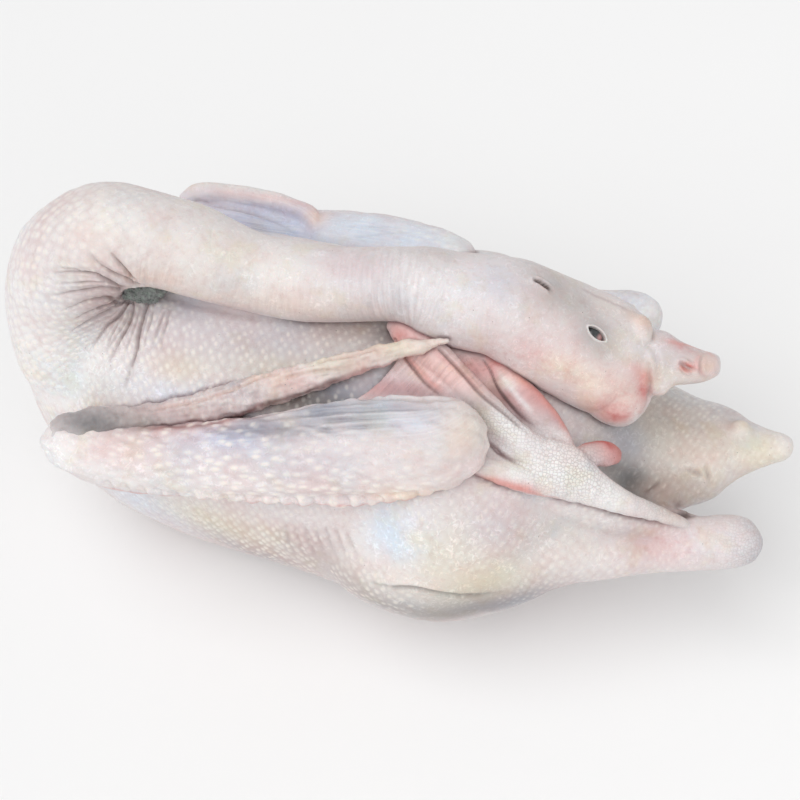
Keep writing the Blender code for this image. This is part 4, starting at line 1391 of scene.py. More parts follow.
def make_neck_and_head():
    """The neck along the back, with the head, its knob and the bill."""
    limbs = [
        neck_part(5, 18, 3.0, 0),
        limb(BILL, up=ACROSS, roll=NECK_ROLL),
        limb(KNOB, up=ACROSS, roll=NECK_ROLL),
        limb(JAW_CORNER),
    ]
    head = Skin("neck_and_head_skin", limbs, 0.85, 14)
    for place, reach in [(EYE, 9), ((62.6, 1.9, 173.3), 8), ((130, -6, 144), 9), (EYE, 7)]:
        head.refine(place, (reach, reach, reach))
    head.push(0.25 * lumps(head.points, 30, 3) + 0.10 * lumps(head.points, 9, 4))
    head.write()
    head.furrow(NECK_RINGS, 1.5, 0.40, 0.10)
    for place, reach, amount in HEAD_SWELLS:
        head.swell(place, reach, amount)
    head.write()
    head.furrow([BILL_ROOT], 1.1, 1.0, 0.16)
    head.furrow([KNOB_EDGE], 1.1, 1.5, 0.4)
    head.furrow([JAW_FOLD], 1.0, 1.1, 0.35)
    head.furrow([NOSTRIL], 0.95, 2.0, 0.25, 0.7, 0.3)
    head.swell((133.6, -6, 144.2), (2.4, 2.4, 2.0), 0.7)
    head.furrow([BILL_LIP], 0.8, 0.7, 0.25, 0.6)
    head.write()
    head.furrow([EAR_SLIT], 0.85, 2.2, 0.95, 0.6, 0.3)
    head.swell(EAR_SLIT[1], (2.6, 1.7, 1.8), -1.6)
    # eye opening, an almond with a raised ring
    middle = np.array(EYE)
    axis = unit(np.array(EYE_AXIS, float))
    nearest = np.argmin(np.linalg.norm(head.points / MM - middle, axis=1))
    outward = head.out[nearest]
    outward = unit(outward - axis * (outward @ axis))
    side = np.cross(outward, axis)
    d = head.points / MM - middle
    x, y, z = d @ axis, d @ side, d @ outward
    half = EYE_HALF_HEIGHT * (1 - (x / EYE_HALF_LENGTH) ** 2).clip(0, 1) ** 0.7
    edge = np.abs(y) - half
    edge = np.where(np.abs(x) > EYE_HALF_LENGTH, np.hypot(np.abs(x) - EYE_HALF_LENGTH, y), edge)
    near = (np.abs(z) < 6) & (np.abs(x) < 12)
    open_eye = smoothstep(-edge, -0.25, 0.35) * near
    ring = np.exp(-(((edge - 0.7) / 0.50) ** 2)) * near
    head.push(-3.2 * open_eye + 0.42 * ring)
    head.write()

    tint = head.paint("skin", NECK_TINTS + HEAD_TINTS)
    head.traces(tint, HEAD_TRACES)
    lid = (ring * 0.55)[:, None]
    tint[:, :3] = tint[:, :3] * (1 - lid) + tone("white") * lid
    # the near-black tint inside the eye opening and the ear slit is painted shade
    inside = (open_eye * 0.9)[:, None]
    tint[:, :3] = tint[:, :3] * (1 - inside) + tone("fold") * 0.3 * inside
    slit, _ = line_distance(head.points, EAR_SLIT, 4)
    dark = np.exp(-((slit / 0.95) ** 2))[:, None]
    tint[:, :3] = tint[:, :3] * (1 - dark) + tone("fold") * 0.12 * dark
    root = smooth_rows(NECK, 2)[: 5 * 2 + 1, :3] * MM
    start = np.linalg.norm(np.diff(root, axis=0), axis=1).sum()
    return head.finish(tint, start=start, **HEAD_MARKS), outward


def make_eye(outward):
    """The eyeball, sunk behind the lids."""
    centre = np.array(EYE) - outward * EYEBALL_DEPTH
    rows, sides = 20, 32
    points, faces = [], []
    for i in range(rows + 1):
        polar = math.pi * i / rows
        for k in range(sides):
            turn = math.tau * k / sides
            wide = math.sin(polar)
            out = np.array([wide * math.cos(turn), wide * math.sin(turn), math.cos(polar)])
            points.append(centre + EYEBALL_RADIUS * out * (1.0, 1.0, 0.96))
    for i in range(rows):
        for k in range(sides):
            n = (k + 1) % sides
            faces.append((i * sides + k, (i + 1) * sides + k, (i + 1) * sides + n, i * sides + n))
    ball = own_mesh("near_eye", np.array(points) * MM, faces)
    tidy_mesh(ball)
    ball.data.materials.append(eye_material())
    return ball


def tidy_mesh(thing):
    """Merges doubled points and turns the faces outwards."""
    mesh = bmesh.new()
    mesh.from_mesh(thing.data)
    bmesh.ops.remove_doubles(mesh, verts=mesh.verts, dist=1e-6)
    bmesh.ops.dissolve_degenerate(mesh, edges=mesh.edges, dist=1e-7)
    bmesh.ops.recalc_face_normals(mesh, faces=mesh.faces)
    mesh.to_mesh(thing.data)
    mesh.free()


GRIT_LUMP = [
    (-123.5, -13.5, 148, 1.5, 2, 2),
    (-119, -14, 151, 3.0, 5, 4.5),
    (-113, -14.5, 153.5, 3.2, 6.5, 6),
    (-107.5, -14, 155.5, 2.8, 5.8, 5.5),
    (-103, -13.5, 156.5, 1.2, 2.5, 2.5),
]


def make_grit():
    """Grit caught in the crook of the neck."""
    lump = Skin("crook_grit_lump", [limb(GRIT_LUMP, sides=24)], 0.5, 1)
    lump.push(0.9 * lumps(lump.points, 4.5, 8) + 0.4 * lumps(lump.points, 1.9, 9) - 0.4)
    lump.write()
    return lump.thing


# Wings

NEAR_FOREARM = [
    (-150, -62, 101, 6, 6, 6, -65),
    (-143, -66, 102, 10, 9, 10, -65),
    (-128, -67, 100, 14, 11, 12, -62),
    (-102, -68, 102, 16, 12, 15, -60),
    (-55, -68, 114, 18, 12, 15, -52),
    (-10, -66, 128, 20.5, 12, 15, -46),
    (20, -63, 133, 21, 12, 14, -44),
    (34, -60, 135, 19, 11, 13, -42),
    (44, -58, 136, 13, 8, 10, -42),
    (48, -57, 136, 6, 4, 5, -42),
]
NEAR_HAND = [
    (-146, -64, 106, 7, 6, 6, -60),
    (-130, -60, 111, 8, 6, 6, -60),
    (-107, -56, 113, 8, 6, 6, -55),
    (-81, -52, 122, 8, 5.5, 5.5, -50),
    (-58, -47, 132, 7.8, 5, 5, -45),
    (-37, -41, 139, 6.9, 4.6, 4.6, -40),
    (-17, -33.5, 144.5, 5.5, 4, 4, -35),
    (4.2, -26.8, 151, 4.0, 3.2, 3.2, -35),
    (15.4, -24.8, 154.5, 2.7, 2.3, 2.3, -35),
    (21, -23, 155.5, 1.9, 1.8, 1.8, -35),
    (25.2, -21.7, 156, 0.9, 0.9, 0.9, -35),
]
HAND_LINES = [
    [(-103.1, -55.2, 121.5), (-89.3, -53.9, 126.4), (-76.0, -51.4, 131.0), (-62, -46, 136)],
    [(-71.2, -50.0, 133.0), (-62.9, -47.8, 136.9), (-54.5, -44.1, 140.4), (-46.9, -41.7, 142.6)],
    [(-50, -45, 139), (-36, -41, 144), (-22, -38, 146), (-8, -33.5, 149)],
    [(-30, -36, 147), (-16, -32, 149), (-2, -28, 153)],
]
# Roots of the flight feathers
SOCKET_LINE = [
    (-122.3, -78.0, 95.5),
    (-93.9, -79.8, 97.5),
    (-66.3, -80.6, 101.0),
    (-39.0, -80.8, 105.2),
    (-13.7, -79.8, 109.5),
    (8, -79.5, 115.5),
    (24, -77.5, 121.5),
]
STRIPES = [
    [(-79.1, -61.4, 123.6), (-69.3, -65.6, 126.6), (-59.4, -69.2, 128.2)],
    [(-72.5, -60.3, 125.0), (-61.1, -65.6, 128.9), (-50.3, -69.4, 130.4)],
    [(-65.2, -61.6, 127.4), (-52.9, -65.7, 131.6), (-41.3, -69.5, 133.1)],
    [(-57.1, -62.9, 130.7), (-44.5, -66.9, 134.1), (-32.6, -70.4, 135.4)],
    [(-48.8, -63.5, 133.8), (-35.5, -67.1, 136.3), (-22.4, -70.6, 137.8)],
    [(-37.0, -63.8, 137.4), (-24.0, -66.9, 139.9), (-12.0, -69.7, 140.3)],
]
# The cleft between forearm and hand
HAND_GAP = [
    [
        (-110, -63, 115),
        (-96.9, -62.5, 119),
        (-87, -61.9, 121),
        (-76.6, -61.9, 124.7),
        (-68, -60, 127),
        (-57.5, -53.2, 129),
    ],
    [(-66, -60, 127), (-52, -51, 131), (-39.5, -48.4, 135.6), (-24.9, -42.4, 140.5), (-10.9, -36.5, 145.2)],
]
WEB_RIDGES = [
    [
        (23.9, -54.2, 150.9),
        (3.1, -52.0, 147.4),
        (-15.6, -51.3, 141.9),
        (-29.2, -54.4, 138.8),
        (-43.6, -58.6, 135.2),
    ],
    [(33.5, -47.0, 147.0), (17.8, -51.8, 149.5), (-8.2, -52.8, 144.6), (-34, -52, 136)],
    [
        (33.7, -53.3, 149.3),
        (14.4, -57.2, 149.1),
        (-11.3, -59.3, 144.9),
        (-37.8, -60.5, 136.7),
        (-60.1, -61.9, 128.9),
    ],
    [(31.7, -57.0, 149.2), (10.8, -61.2, 147.8), (-14.9, -63.9, 143.0), (-41.1, -66.0, 134.5)],
    [(27.9, -60.3, 148.4), (7.0, -64.3, 146.1), (-18.7, -67.1, 140.5), (-45.1, -68.7, 132.0)],
]


def frill_lines(count, above, below):
    """Short lines between the quill sockets, down to the wing's lower edge."""
    line = smooth_rows(SOCKET_LINE, 8)
    walk = np.concatenate([[0], np.cumsum(np.linalg.norm(np.diff(line, axis=0), axis=1))])
    stops = (np.arange(count - 1) + 0.5) / (count - 1) * walk[-1]
    spots = np.column_stack([np.interp(stops, walk, line[:, k]) for k in range(3)])
    lean = np.array([2.6, 0, 0])
    return [[p + above * view_up() - lean, p, p - below * view_up() + lean] for p in spots]


def quill_row(line):
    """Fleshy lobes along a line in mm, as a shape to be fused with a wing."""
    guide = own_mesh("socket_guide", np.array(smooth_rows(line, 4)) * MM, [])
    mesh = bmesh.new()
    mesh.from_mesh(guide.data)
    mesh.verts.ensure_lookup_table()
    for i in range(len(mesh.verts) - 1):
        mesh.edges.new((mesh.verts[i], mesh.verts[i + 1]))
    mesh.to_mesh(guide.data)
    mesh.free()
    return run_tree(guide, sockets_tree(), None)


WING_TINTS = [
    ((-140, -74, 106), (16, 12, 12), "white", 0.8),
    ((-110, -76, 104), (26, 10, 10), "pale", 0.6),
    ((-110, -72, 110), (24, 8, 6), "pink", 0.5),
    ((-92, -71, 114), (26, 8, 8), "pink", 0.5),
    ((-96, -65, 112), (16, 6, 5), "dusk", 0.5),
    ((-76, -72, 119), (26, 8, 8), "lilac", 0.6),
    ((-62, -68, 127), (26, 6, 6), "lavender", 0.8),
    ((-52, -62, 132), (16, 5, 4), "slate_blue", 0.5),
    ((-30, -74, 128), (34, 8, 12), "lilac", 0.5),
    ((-45, -78, 112), (30, 8, 8), "pale", 0.6),
    ((-20, -76, 120), (14, 8, 8), "pink", 0.4),
    ((14, -74, 130), (16, 8, 8), "pale", 0.5),
    ((24, -72, 128), (10, 8, 8), "pink", 0.4),
    # the blue grey along the web's top is partly the thin web's own bluish tone and partly painted shade
    # under the hand
    ((-45, -66, 133), (20, 5, 5), "blue_grey", 0.7),
    ((-20, -59, 142), (26, 7, 6), "blue_grey", 1.0),
    ((-22, -60, 141), (18, 4, 4), "slate_blue", 0.35),
    ((10, -57, 149), (22, 5, 5), "blue_grey", 0.6),
    ((5, -60, 143), (16, 7, 6), "blue_grey", 0.9),
    ((4, -60, 142), (10, 4, 4), "slate_blue", 0.3),
    ((16, -63, 147), (16, 6, 5), "blue_white", 0.8),
    ((5, -72, 134), (26, 8, 8), "pink", 0.35),
    ((24, -72, 128), (24, 12, 14), "sand", 0.5),
    ((40, -62, 143), (12, 12, 10), "beige", 0.9),
    ((44, -68, 132), (10, 10, 10), "pink", 0.6),
    ((10, -78, 118), (22, 6, 6), "peach", 0.7),
    ((-60, -81, 101), (60, 5, 5), "cream", 0.5),
    ((18, -79, 119), (12, 5, 5), "horn", 0.7),
]
WING_MARKS = {
    "dots": [
        ((-40, -70, 115), (110, 30, 26), 0.9),
        ((-5, -58, 147), (45, 12, 8), -0.8),
        ((-145, -70, 105), (16, 16, 16), -0.7),
    ],
    "streaks": [((0, -60, 146), (46, 12, 8), 0.55), ((-62, -68, 127), (26, 8, 6), 0.5)],
    "frost": [((-50, -72, 112), (90, 16, 18), 0.7)],
}


def make_near_wing(relief):
    """The folded near forearm, with a web along its top and quill sockets along its lower edge."""
    wing = Skin("near_wing_skin", [limb(NEAR_FOREARM, sides=56)], 0.62, 4, [quill_row(SOCKET_LINE)])
    p = wing.points
    wing.push(0.45 * lumps(p * (0.45, 1, 1), 9, 21) + 0.22 * lumps(p * (0.5, 1, 1), 4.5, 22))
    wing.write()
    wing.furrow(WEB_RIDGES, 1.1, 0.9, 0.22, 0.9)
    wing.furrow(STRIPES, 1.5, 0.8, 0.12, 0.8)
    wing.furrow(frill_lines(20, -1.0, 5.0), 0.8, 0.6, 0.12, 0.4)
    wing.write()
    tint = wing.paint("skin", WING_TINTS)
    wing.trace(tint, STRIPES, 1.8, "blue_grey", 0.5)
    # fold along the cleft is painted shade
    wing.trace(tint, HAND_GAP, 1.3, "fold", 0.8)
    wing.trace(tint, HAND_GAP, 4.5, "rose", 0.35)
    edge = [tuple(np.array(p) - 3.6 * view_up()) for p in SOCKET_LINE]
    wing.trace(tint, [edge], 1.1, "rose", 0.75, 0.1)
    wing.finish(tint, start=0.4, stretch=0.4, **WING_MARKS)
    return dress(wing.thing, relief, "wing_skin", height=0.40, gap=2.8, scatter=0.85, bold=0.95, rough=0.48)


HAND_STAINS = [
    [(-31.6, -41.5, 144.8), (-22.3, -39, 145.8), (-14, -36.2, 147)],
    [(-3.1, -32.4, 150.8), (7.2, -28.2, 154.1)],
]
HAND_TRACES = [
    # fold along the cleft is painted shade
    (HAND_GAP, 1.6, "fold", 0.8),
    (HAND_LINES, 1.1, "tan", 0.5),
    (HAND_STAINS, 1.2, "speck", 0.14),
    ([[(-24.9, -42.4, 139), (-10.9, -36.5, 144), (5.8, -30.3, 148), (18, -26, 152)]], 1.6, "rose", 0.6),
]
HAND_TINTS = [
    # slate here and dim grey below are painted shade where the hand's wrist end lies in the cleft
    ((-127, -62, 115), (22, 8, 9), "slate", 0.9),
    ((-60, -50, 130), (20, 5, 5), "skin", 0.4),
    ((-102, -58, 117), (18, 7, 7), "dim_grey", 0.85),
    ((-82, -54, 124), (22, 8, 8), "dusk", 0.7),
    ((-60, -46, 136), (16, 7, 7), "dusk", 0.75),
    ((-66, -46, 136), (8, 4, 4), "blue_grey", 0.5),
    ((-44, -44, 140), (10, 6, 6), "tan", 0.6),
    ((-12, -35, 147), (5, 4, 4), "rose", 0.6),
    ((-80, -48, 130), (22, 5, 5), "frost", 0.7),
    # dusk here and in the next row is painted shade on the hand's lower side
    ((-80, -55, 122), (26, 5, 5), "dusk", 0.8),
    ((-55, -52, 129), (26, 5, 5), "dusk", 0.6),
    ((-92, -52, 127), (26, 6, 5), "skin", 0.6),
    ((-54, -43, 140), (10, 4, 3), "cream", 0.6),
    ((-34, -39, 144), (12, 5, 4), "cream", 0.6),
    ((-58, -44, 138), (4, 3, 3), "tan", 0.7),
    # fold along the lower edge is painted shade
    ((-50, -54, 126), (24, 3, 3), "fold", 0.5),
    ((-42, -42, 142), (22, 5, 5), "pink", 0.5),
    ((-22, -34, 147), (14, 6, 6), "fat", 0.6),
    ((-34, -43, 139), (16, 3, 3), "rose", 0.5),
    ((8, -24, 152), (22, 8, 6), "horn", 0.8),
    ((0, -27, 152), (8, 4, 4), "fat", 0.7),
    ((18, -24, 155), (7, 4, 4), "tan", 0.6),
    ((-4, -29, 150), (6, 4, 4), "tan", 0.8),
]
HAND_MARKS = {
    "dots": [((-60, -48, 125), (70, 20, 30), 0.6)],
    "streaks": [((8, -24, 152), (20, 8, 6), 0.5)],
    "flush": [((-60, -50, 126), (40, 8, 10), 0.3), ((-5, -32, 148), (24, 6, 6), 0.25)],
    "specks": [((-20, -38, 144), (40, 10, 10), 0.8)],
    "frost": [((-60, -48, 130), (50, 8, 8), 0.5)],
}


def make_near_hand(relief):
    """The hand of the near wing, laid along the flank to a point."""
    hand = Skin("near_wing_hand_skin", [limb(NEAR_HAND, sides=36)], 0.5, 4)
    p = hand.points
    hand.push(0.55 * lumps(p * (0.7, 1, 1), 8, 31) + 0.26 * lumps(p * (0.7, 1, 1), 3.2, 32))
    hand.write()
    hand.furrow(HAND_LINES, 0.8, 0.6, 0.22, 0.6)
    hand.write()
    tint = hand.paint("skin", HAND_TINTS)
    hand.traces(tint, HAND_TRACES)
    hand.finish(tint, start=0.5, **HAND_MARKS)
    return dress(hand.thing, relief, "hand_skin", height=0.35, gap=3.6, dot=0.30, scatter=1.0, bold=0.40)


FAR_FOREARM = [
    (-119, 68, 120, 8, 6, 10),
    (-108, 62, 122, 13, 6, 16),
    (-80, 61, 122, 16, 6, 20),
    (-58, 61, 121, 16, 7, 20),
    (-45, 61, 121, 17, 11, 20),
    (-20, 61, 121, 18, 11.5, 20),
    (0, 59, 121, 17, 11, 20),
    (12, 58, 120, 15.5, 12, 18),
    (21, 57, 117, 12, 10.5, 14),
    (27, 57, 115, 4, 3, 5),
]
FAR_RIM = [
    (-118, 70, 127, 4, 4, 4),
    (-112, 74, 130, 5, 5, 5),
    (-98, 75, 131, 5, 5, 5),
    (-80, 74, 131, 5, 5, 5),
    (-62, 71, 130, 5, 5, 5),
    (-53, 66, 128, 5, 5, 5),
    (-50, 58, 125, 4, 4, 4),
    (-49, 50, 124, 3, 3, 3),
]
FAR_HAND = [
    (-108, 60, 120, 6, 5, 5, 50),
    (-80, 50, 128, 6, 5, 5, 45),
    (-50, 42, 136, 5, 4, 4, 40),
    (-20, 34, 141, 4, 3, 3, 35),
    (4, 26, 145, 1.5, 1.5, 1.5, 35),
]
# The edge of the hollow, and weaker lines in the web and on the forearm
FAR_LINES = [
    [
        (-111, 68.4, 131),
        (-102, 66.7, 131),
        (-89, 65.5, 131),
        (-76.4, 63, 131),
        (-66, 58.7, 131),
        (-57, 52.7, 131),
    ],
    [(-100, 63, 130), (-86, 60, 130), (-72, 56, 130), (-62, 50, 130)],
    [(-95, 58, 128), (-82, 54, 128), (-70, 50, 128)],
    [(-42, 51, 133), (-29, 56, 133), (-15, 61, 133), (-2, 64, 133)],
    [(-40, 60, 134), (-25, 63, 134), (-8, 65, 134)],
]
FAR_WING_TINTS = [
    ((-82, 62, 131), (34, 11, 9), "lavender", 1.0),
    ((-56, 60, 130), (12, 10, 8), "lavender", 0.8),
    ((-84, 54, 130), (30, 8, 7), "blue_grey", 0.45),
    ((-42, 50, 131), (18, 6, 6), "blue_grey", 0.45),
    ((-30, 62, 133), (30, 12, 8), "blue_white", 1.0),
    ((0, 60, 133), (22, 12, 8), "blue_white", 0.9),
    ((-100, 66, 132), (14, 6, 6), "blue_white", 0.6),
    ((18, 60, 130), (10, 12, 10), "white", 0.8),
    ((27, 58, 126), (6, 10, 8), "pink", 0.7),
    ((-90, 75.5, 135), (34, 3.5, 3.5), "cream", 0.7),
    ((-80, 72, 135), (30, 2.5, 3), "pink", 0.9),
    ((-52, 66, 133), (6, 7, 5), "peach", 0.85),
    ((-60, 70.5, 131), (10, 3.5, 4), "rose", 0.5),
    ((-70, 82, 112), (40, 8, 12), "pale", 0.6),
    ((-20, 82, 112), (30, 8, 12), "pink", 0.5),
    ((-50, 76, 104), (60, 8, 5), "peach", 0.5),
]
FAR_WING_MARKS = {
    "dots": [((10, 62, 125), (30, 30, 20), 0.5), ((-50, 82, 112), (80, 14, 20), 0.95)],
    "frost": [((-50, 82, 112), (80, 14, 18), 0.7)],
    "streaks": [((-82, 62, 131), (36, 11, 9), 0.9), ((-20, 62, 135), (36, 12, 8), 0.6)],
}


def make_far_wing(relief):
    """The far wing, whose rim stands round a hollow of thin bluish skin."""
    forearm = limb(FAR_FOREARM, roll=-15, sides=48)
    lower_edge = forearm["ring"][10:66:4, 33] / MM
    limbs = [forearm, limb(FAR_RIM, up=(0, -0.6, 0.8), sides=24), limb(FAR_HAND, sides=28)]
    wing = Skin("far_wing_skin", limbs, 0.8, 5, [quill_row(lower_edge)])
    wing.push(0.30 * lumps(wing.points * (0.5, 1, 1), 10, 41))
    wing.write()
    wing.swell((-82, 64, 131), (26, 6, 6), -1.2)
    wing.furrow(FAR_LINES[:1], 1.0, 1.1, 0.6)
    wing.furrow(FAR_LINES[1:], 0.9, 0.4, 0.15)
    wing.write()
    tint = wing.paint("skin", FAR_WING_TINTS)
    wing.finish(tint, start=0.6, stretch=0.4, **FAR_WING_MARKS)
    return dress(wing.thing, relief, "far_wing_finish", height=0.35, gap=2.8, scatter=0.85, bold=0.75)


# Feet

# Half the width of a toe of size one, and its depth as a share of its width
TOE = 5.6
TOE_DEPTH = 0.85


def toe(points, sizes, tilt=45):
    """Rows of a toe that is wider than deep."""
    return [(*p, TOE * k, TOE * TOE_DEPTH * k, TOE * TOE_DEPTH * k, tilt) for p, k in zip(points, sizes)]


NEAR_SHANK = [
    (150, -40, 66, 2.0, 2.0, 2.0),
    (138, -43, 76.5, 2.8, 2.8, 2.8),
    (126, -46, 85.5, 3.6, 4, 4),
    (110, -51.5, 97.5, 5.4, 5.2, 5.2),
    (96, -53, 106.5, 8.2, 5.6, 5.6),
    (82, -52, 114, 12.5, 6.6, 5.6),
    (70, -51, 120, 10, 5.6, 5.6),
]
NEAR_MIDDLE_TOE = [
    (90, -50, 109),
    (80, -51, 115),
    (67, -49, 122),
    (55, -44, 128),
    (43, -37, 135),
    (30, -29, 141),
    (18, -22, 146),
    (6, -14, 149),
    (0, -8, 150),
]
NEAR_INNER_TOE = [
    (84, -44, 114.5),
    (77.6, -37, 119.5),
    (71.8, -33, 123.5),
    (64.8, -29.6, 128),
    (58.5, -26.4, 132.5),
    (50.7, -21.2, 137.5),
    (43.5, -13.7, 141),
    (37, -8, 142),
]
NEAR_OUTER_TOE = [(92, -53, 106), (83, -56, 111), (70, -60, 114), (55, -61, 119), (36, -60, 123)]
NEAR_HIND_TOE = [(84, -46, 114), (92, -41, 115), (99, -38, 113), (104, -36, 110)]

OUTER_WEB_EDGE = [(66, -58, 116), (45, -62, 122.5), (22, -58, 131), (4, -52, 134), (-12, -46, 136)]
# Where the outer toe leaves the palm
PALM_CREASE = [(46, -43.4, 118), (49.3, -46.3, 118), (53.3, -49.6, 118), (58, -52, 118), (63.7, -54.5, 118)]
# The inner toe's edge, whose groove is painted with shade, and a fine line in the web beside it
TOE_EDGE = [
    (40.7, -18.6, 143),
    (43.9, -20.9, 139.2),
    (48.5, -27.1, 135),
    (53.8, -31.7, 132),
    (59.7, -35.3, 128.5),
    (66.4, -37.5, 125),
]
WEB_LINE = [(25.6, -18.8, 147), (33.9, -20.0, 143), (43.0, -26.4, 138.5), (51.0, -31.2, 133.5)]
# The middle toe's edges, on the side of the inner toe and on the side of the outer one
MIDDLE_TOE_RIGHT = [
    (21, -20.5, 148),
    (27, -25, 146),
    (34, -30, 143),
    (42.5, -36, 139),
    (51, -40, 136),
    (60, -43.5, 131),
    (68, -46, 127),
]
MIDDLE_TOE_LEFT = [
    (1.5, -18.4, 148),
    (6.8, -25.8, 146),
    (11.9, -29.9, 143),
    (17.1, -34.3, 141),
    (21.5, -36.4, 139),
    (25.9, -38.9, 138),
]
# The inner toe's bright back
INNER_TOE_BACK = [
    (52, -23, 143),
    (60, -25, 139),
    (67, -26, 133),
    (74, -30, 128),
    (80, -34, 123),
    (84, -36, 118),
]


def web_sheet(name, first, second, sag, start, reach, thick):
    """A thin curved web between two toe lines, closed, whose free edge is drawn in."""
    a = smooth_rows(first, 8) * MM
    b = smooth_rows(second, 8) * MM
    rows, columns = 40, 20

    def on(line, t):
        spot = t * (len(line) - 1)
        i = int(min(spot, len(line) - 2))
        return line[i] + (line[i + 1] - line[i]) * (spot - i)

    top = []
    for i in range(rows + 1):
        for j in range(columns + 1):
            w = j / columns
            bow = 4 * w * (1 - w)
            t = start + (reach - start) * (1 - 0.06 * bow) * i / rows
            p = on(a, t) * (1 - w) + on(b, t) * w
            top.append(p + np.array(sag) * MM * bow * math.sin(math.pi * min(1, i / rows * 0.8 + 0.1)))
    faces = []
    for i in range(rows):
        for j in range(columns):
            s = i * (columns + 1) + j
            faces.append((s, s + 1, s + columns + 2, s + columns + 1))
    sheet = own_mesh(name, top, faces)
    thicken = sheet.modifiers.new("thickness", "SOLIDIFY")
    thicken.thickness = thick * MM
    thicken.offset = 0
    return settle(sheet)


FOOT_FOLDS = [
    ([TOE_EDGE], 0.6, 0.5, 0.9, 0.2, 0.35, 0.3),
    ([PALM_CREASE], 1.0, 1.4, 0.95, 0.3),
    ([WEB_LINE], 0.8, 0.15, 0.1, 0.1),
    ([MIDDLE_TOE_RIGHT], 0.75, 1.0, 0.55, 0.4, 0.5, 0.6),
    ([MIDDLE_TOE_LEFT], 0.75, 1.2, 0.6, 0.4, 0.5, 0.6),
]
FOOT_TRACES = [
    # fold and shade along the inner toe's edge and fold along the middle toe's left edge are painted shade in
    # their grooves
    ([TOE_EDGE], 0.6, "fold", 0.8, 0.4),
    ([TOE_EDGE[2:5]], 0.8, "shade", 0.75, 0.4),
    ([MIDDLE_TOE_LEFT], 1.2, "fold", 0.5),
    ([[(3, -22, 148), (9, -27, 146), (15, -31, 143), (21, -35, 141), (28, -38.5, 139)]], 1.5, "salmon", 0.6),
    ([[(17, -22, 151), (26.2, -27.4, 148), (33, -30.6, 145), (42, -35, 141)]], 1.5, "red", 0.30),
    # fold along the middle toe's right edge is painted shade
    ([MIDDLE_TOE_RIGHT[:6]], 1.2, "fold", 0.55, 0.1),
    ([[(47, -22, 142), (51.5, -26, 139), (58, -30.5, 134.5), (66, -34.5, 129)]], 1.5, "pale", 0.7),
    ([INNER_TOE_BACK], 2.6, "salmon", 0.85),
    ([[(44.7, -66, 121), (55.4, -65.1, 118), (68.7, -64.8, 113), (82, -61.4, 106)]], 1.8, "salmon", 0.7),
    ([[(87, -40, 119), (93, -36, 119), (98, -36, 119), (102, -38, 116)]], 2.0, "red", 0.8),
]
FOOT_TINTS = [
    ((80, -53, 119), (24, 14, 14), "white", 1.0),
    ((108, -52, 102), (22, 10, 12), "white", 0.9),
    ((135, -44, 88), (16, 10, 10), "beige", 0.5),
    ((66, -50, 128), (10, 9, 8), "pale", 0.8),
    ((54, -46, 133), (10, 7, 6), "white", 0.8),
    ((41, -41, 138), (7, 5, 5), "grey", 0.6),
    ((28, -32, 144), (18, 9, 8), "coral", 0.8),
    ((4, -19, 151), (12, 9, 7), "salmon", 0.75),
    ((18, -28, 147), (14, 7, 7), "coral", 0.8),
    ((60, -28, 134), (22, 7, 8), "rose", 0.95),
    ((73, -31, 126), (12, 5, 6), "mauve", 0.5),
    ((64.5, -29.5, 130.5), (9, 4, 5.5), "salmon", 0.6),
    ((64.5, -30.5, 131), (8, 4, 5), "mauve", 0.4),
    ((74, -34.5, 127), (7, 4, 5), "mauve", 0.5),
    ((17, -17.5, 151), (6, 4, 5), "red", 0.35),
    ((52, -26.5, 138), (5, 3, 4), "white", 0.9),
    ((47, -19, 143), (6, 5, 5), "salmon", 1.0),
    ((38, -23, 141), (14, 5, 5), "rose", 0.9),
    ((48, -31, 136), (12, 3.5, 4), "mauve", 0.45),
    ((2, -36, 141), (15, 10, 8), "pink", 0.8),
    ((3, -38, 139), (12, 6, 5), "lilac", 0.7),
    ((10, -38, 140), (10, 3, 4), "rose", 0.5),
    ((9, -39, 137), (15, 4, 4), "mauve", 1.0),
    ((-4, -39, 137), (8, 4, 4), "mauve", 0.6),
    ((-6, -40, 139), (12, 6, 6), "rose", 0.5),
    ((62, -60, 121), (14, 5, 5), "white", 0.8),
    ((58, -66, 116), (20, 3, 3), "salmon", 0.8),
    ((96, -38, 117), (9, 8, 7), "rose", 1.0),
    ((102, -37, 114), (7, 7, 6), "salmon", 0.9),
    ((102.5, -37, 113), (6, 6, 6), "red", 0.7),
    ((92, -42, 118), (5, 5, 4), "grey", 0.6),
]
FOOT_MARKS = {
    "scales": [
        ((85, -53, 118), (30, 16, 18), 1.0),
        ((55, -45, 132), (16, 9, 9), 0.8),
        ((120, -46, 92), (26, 10, 12), 0.7),
    ],
    "rings": [
        ((25, -28, 144), (28, 9, 8), 1.0),
        ((52, -24, 139), (24, 9, 9), 0.6),
        ((6, -36, 140), (20, 12, 9), 0.7),
    ],
    "flush": [
        ((8, -20, 150), (14, 6, 7), 0.55),
        ((46, -18, 143), (10, 6, 6), 0.5),
        ((70, -27, 134), (14, 3, 4), 0.5),
        ((101, -36, 115), (8, 8, 6), 0.6),
        ((55, -67, 115), (24, 3, 3), 0.5),
    ],
}


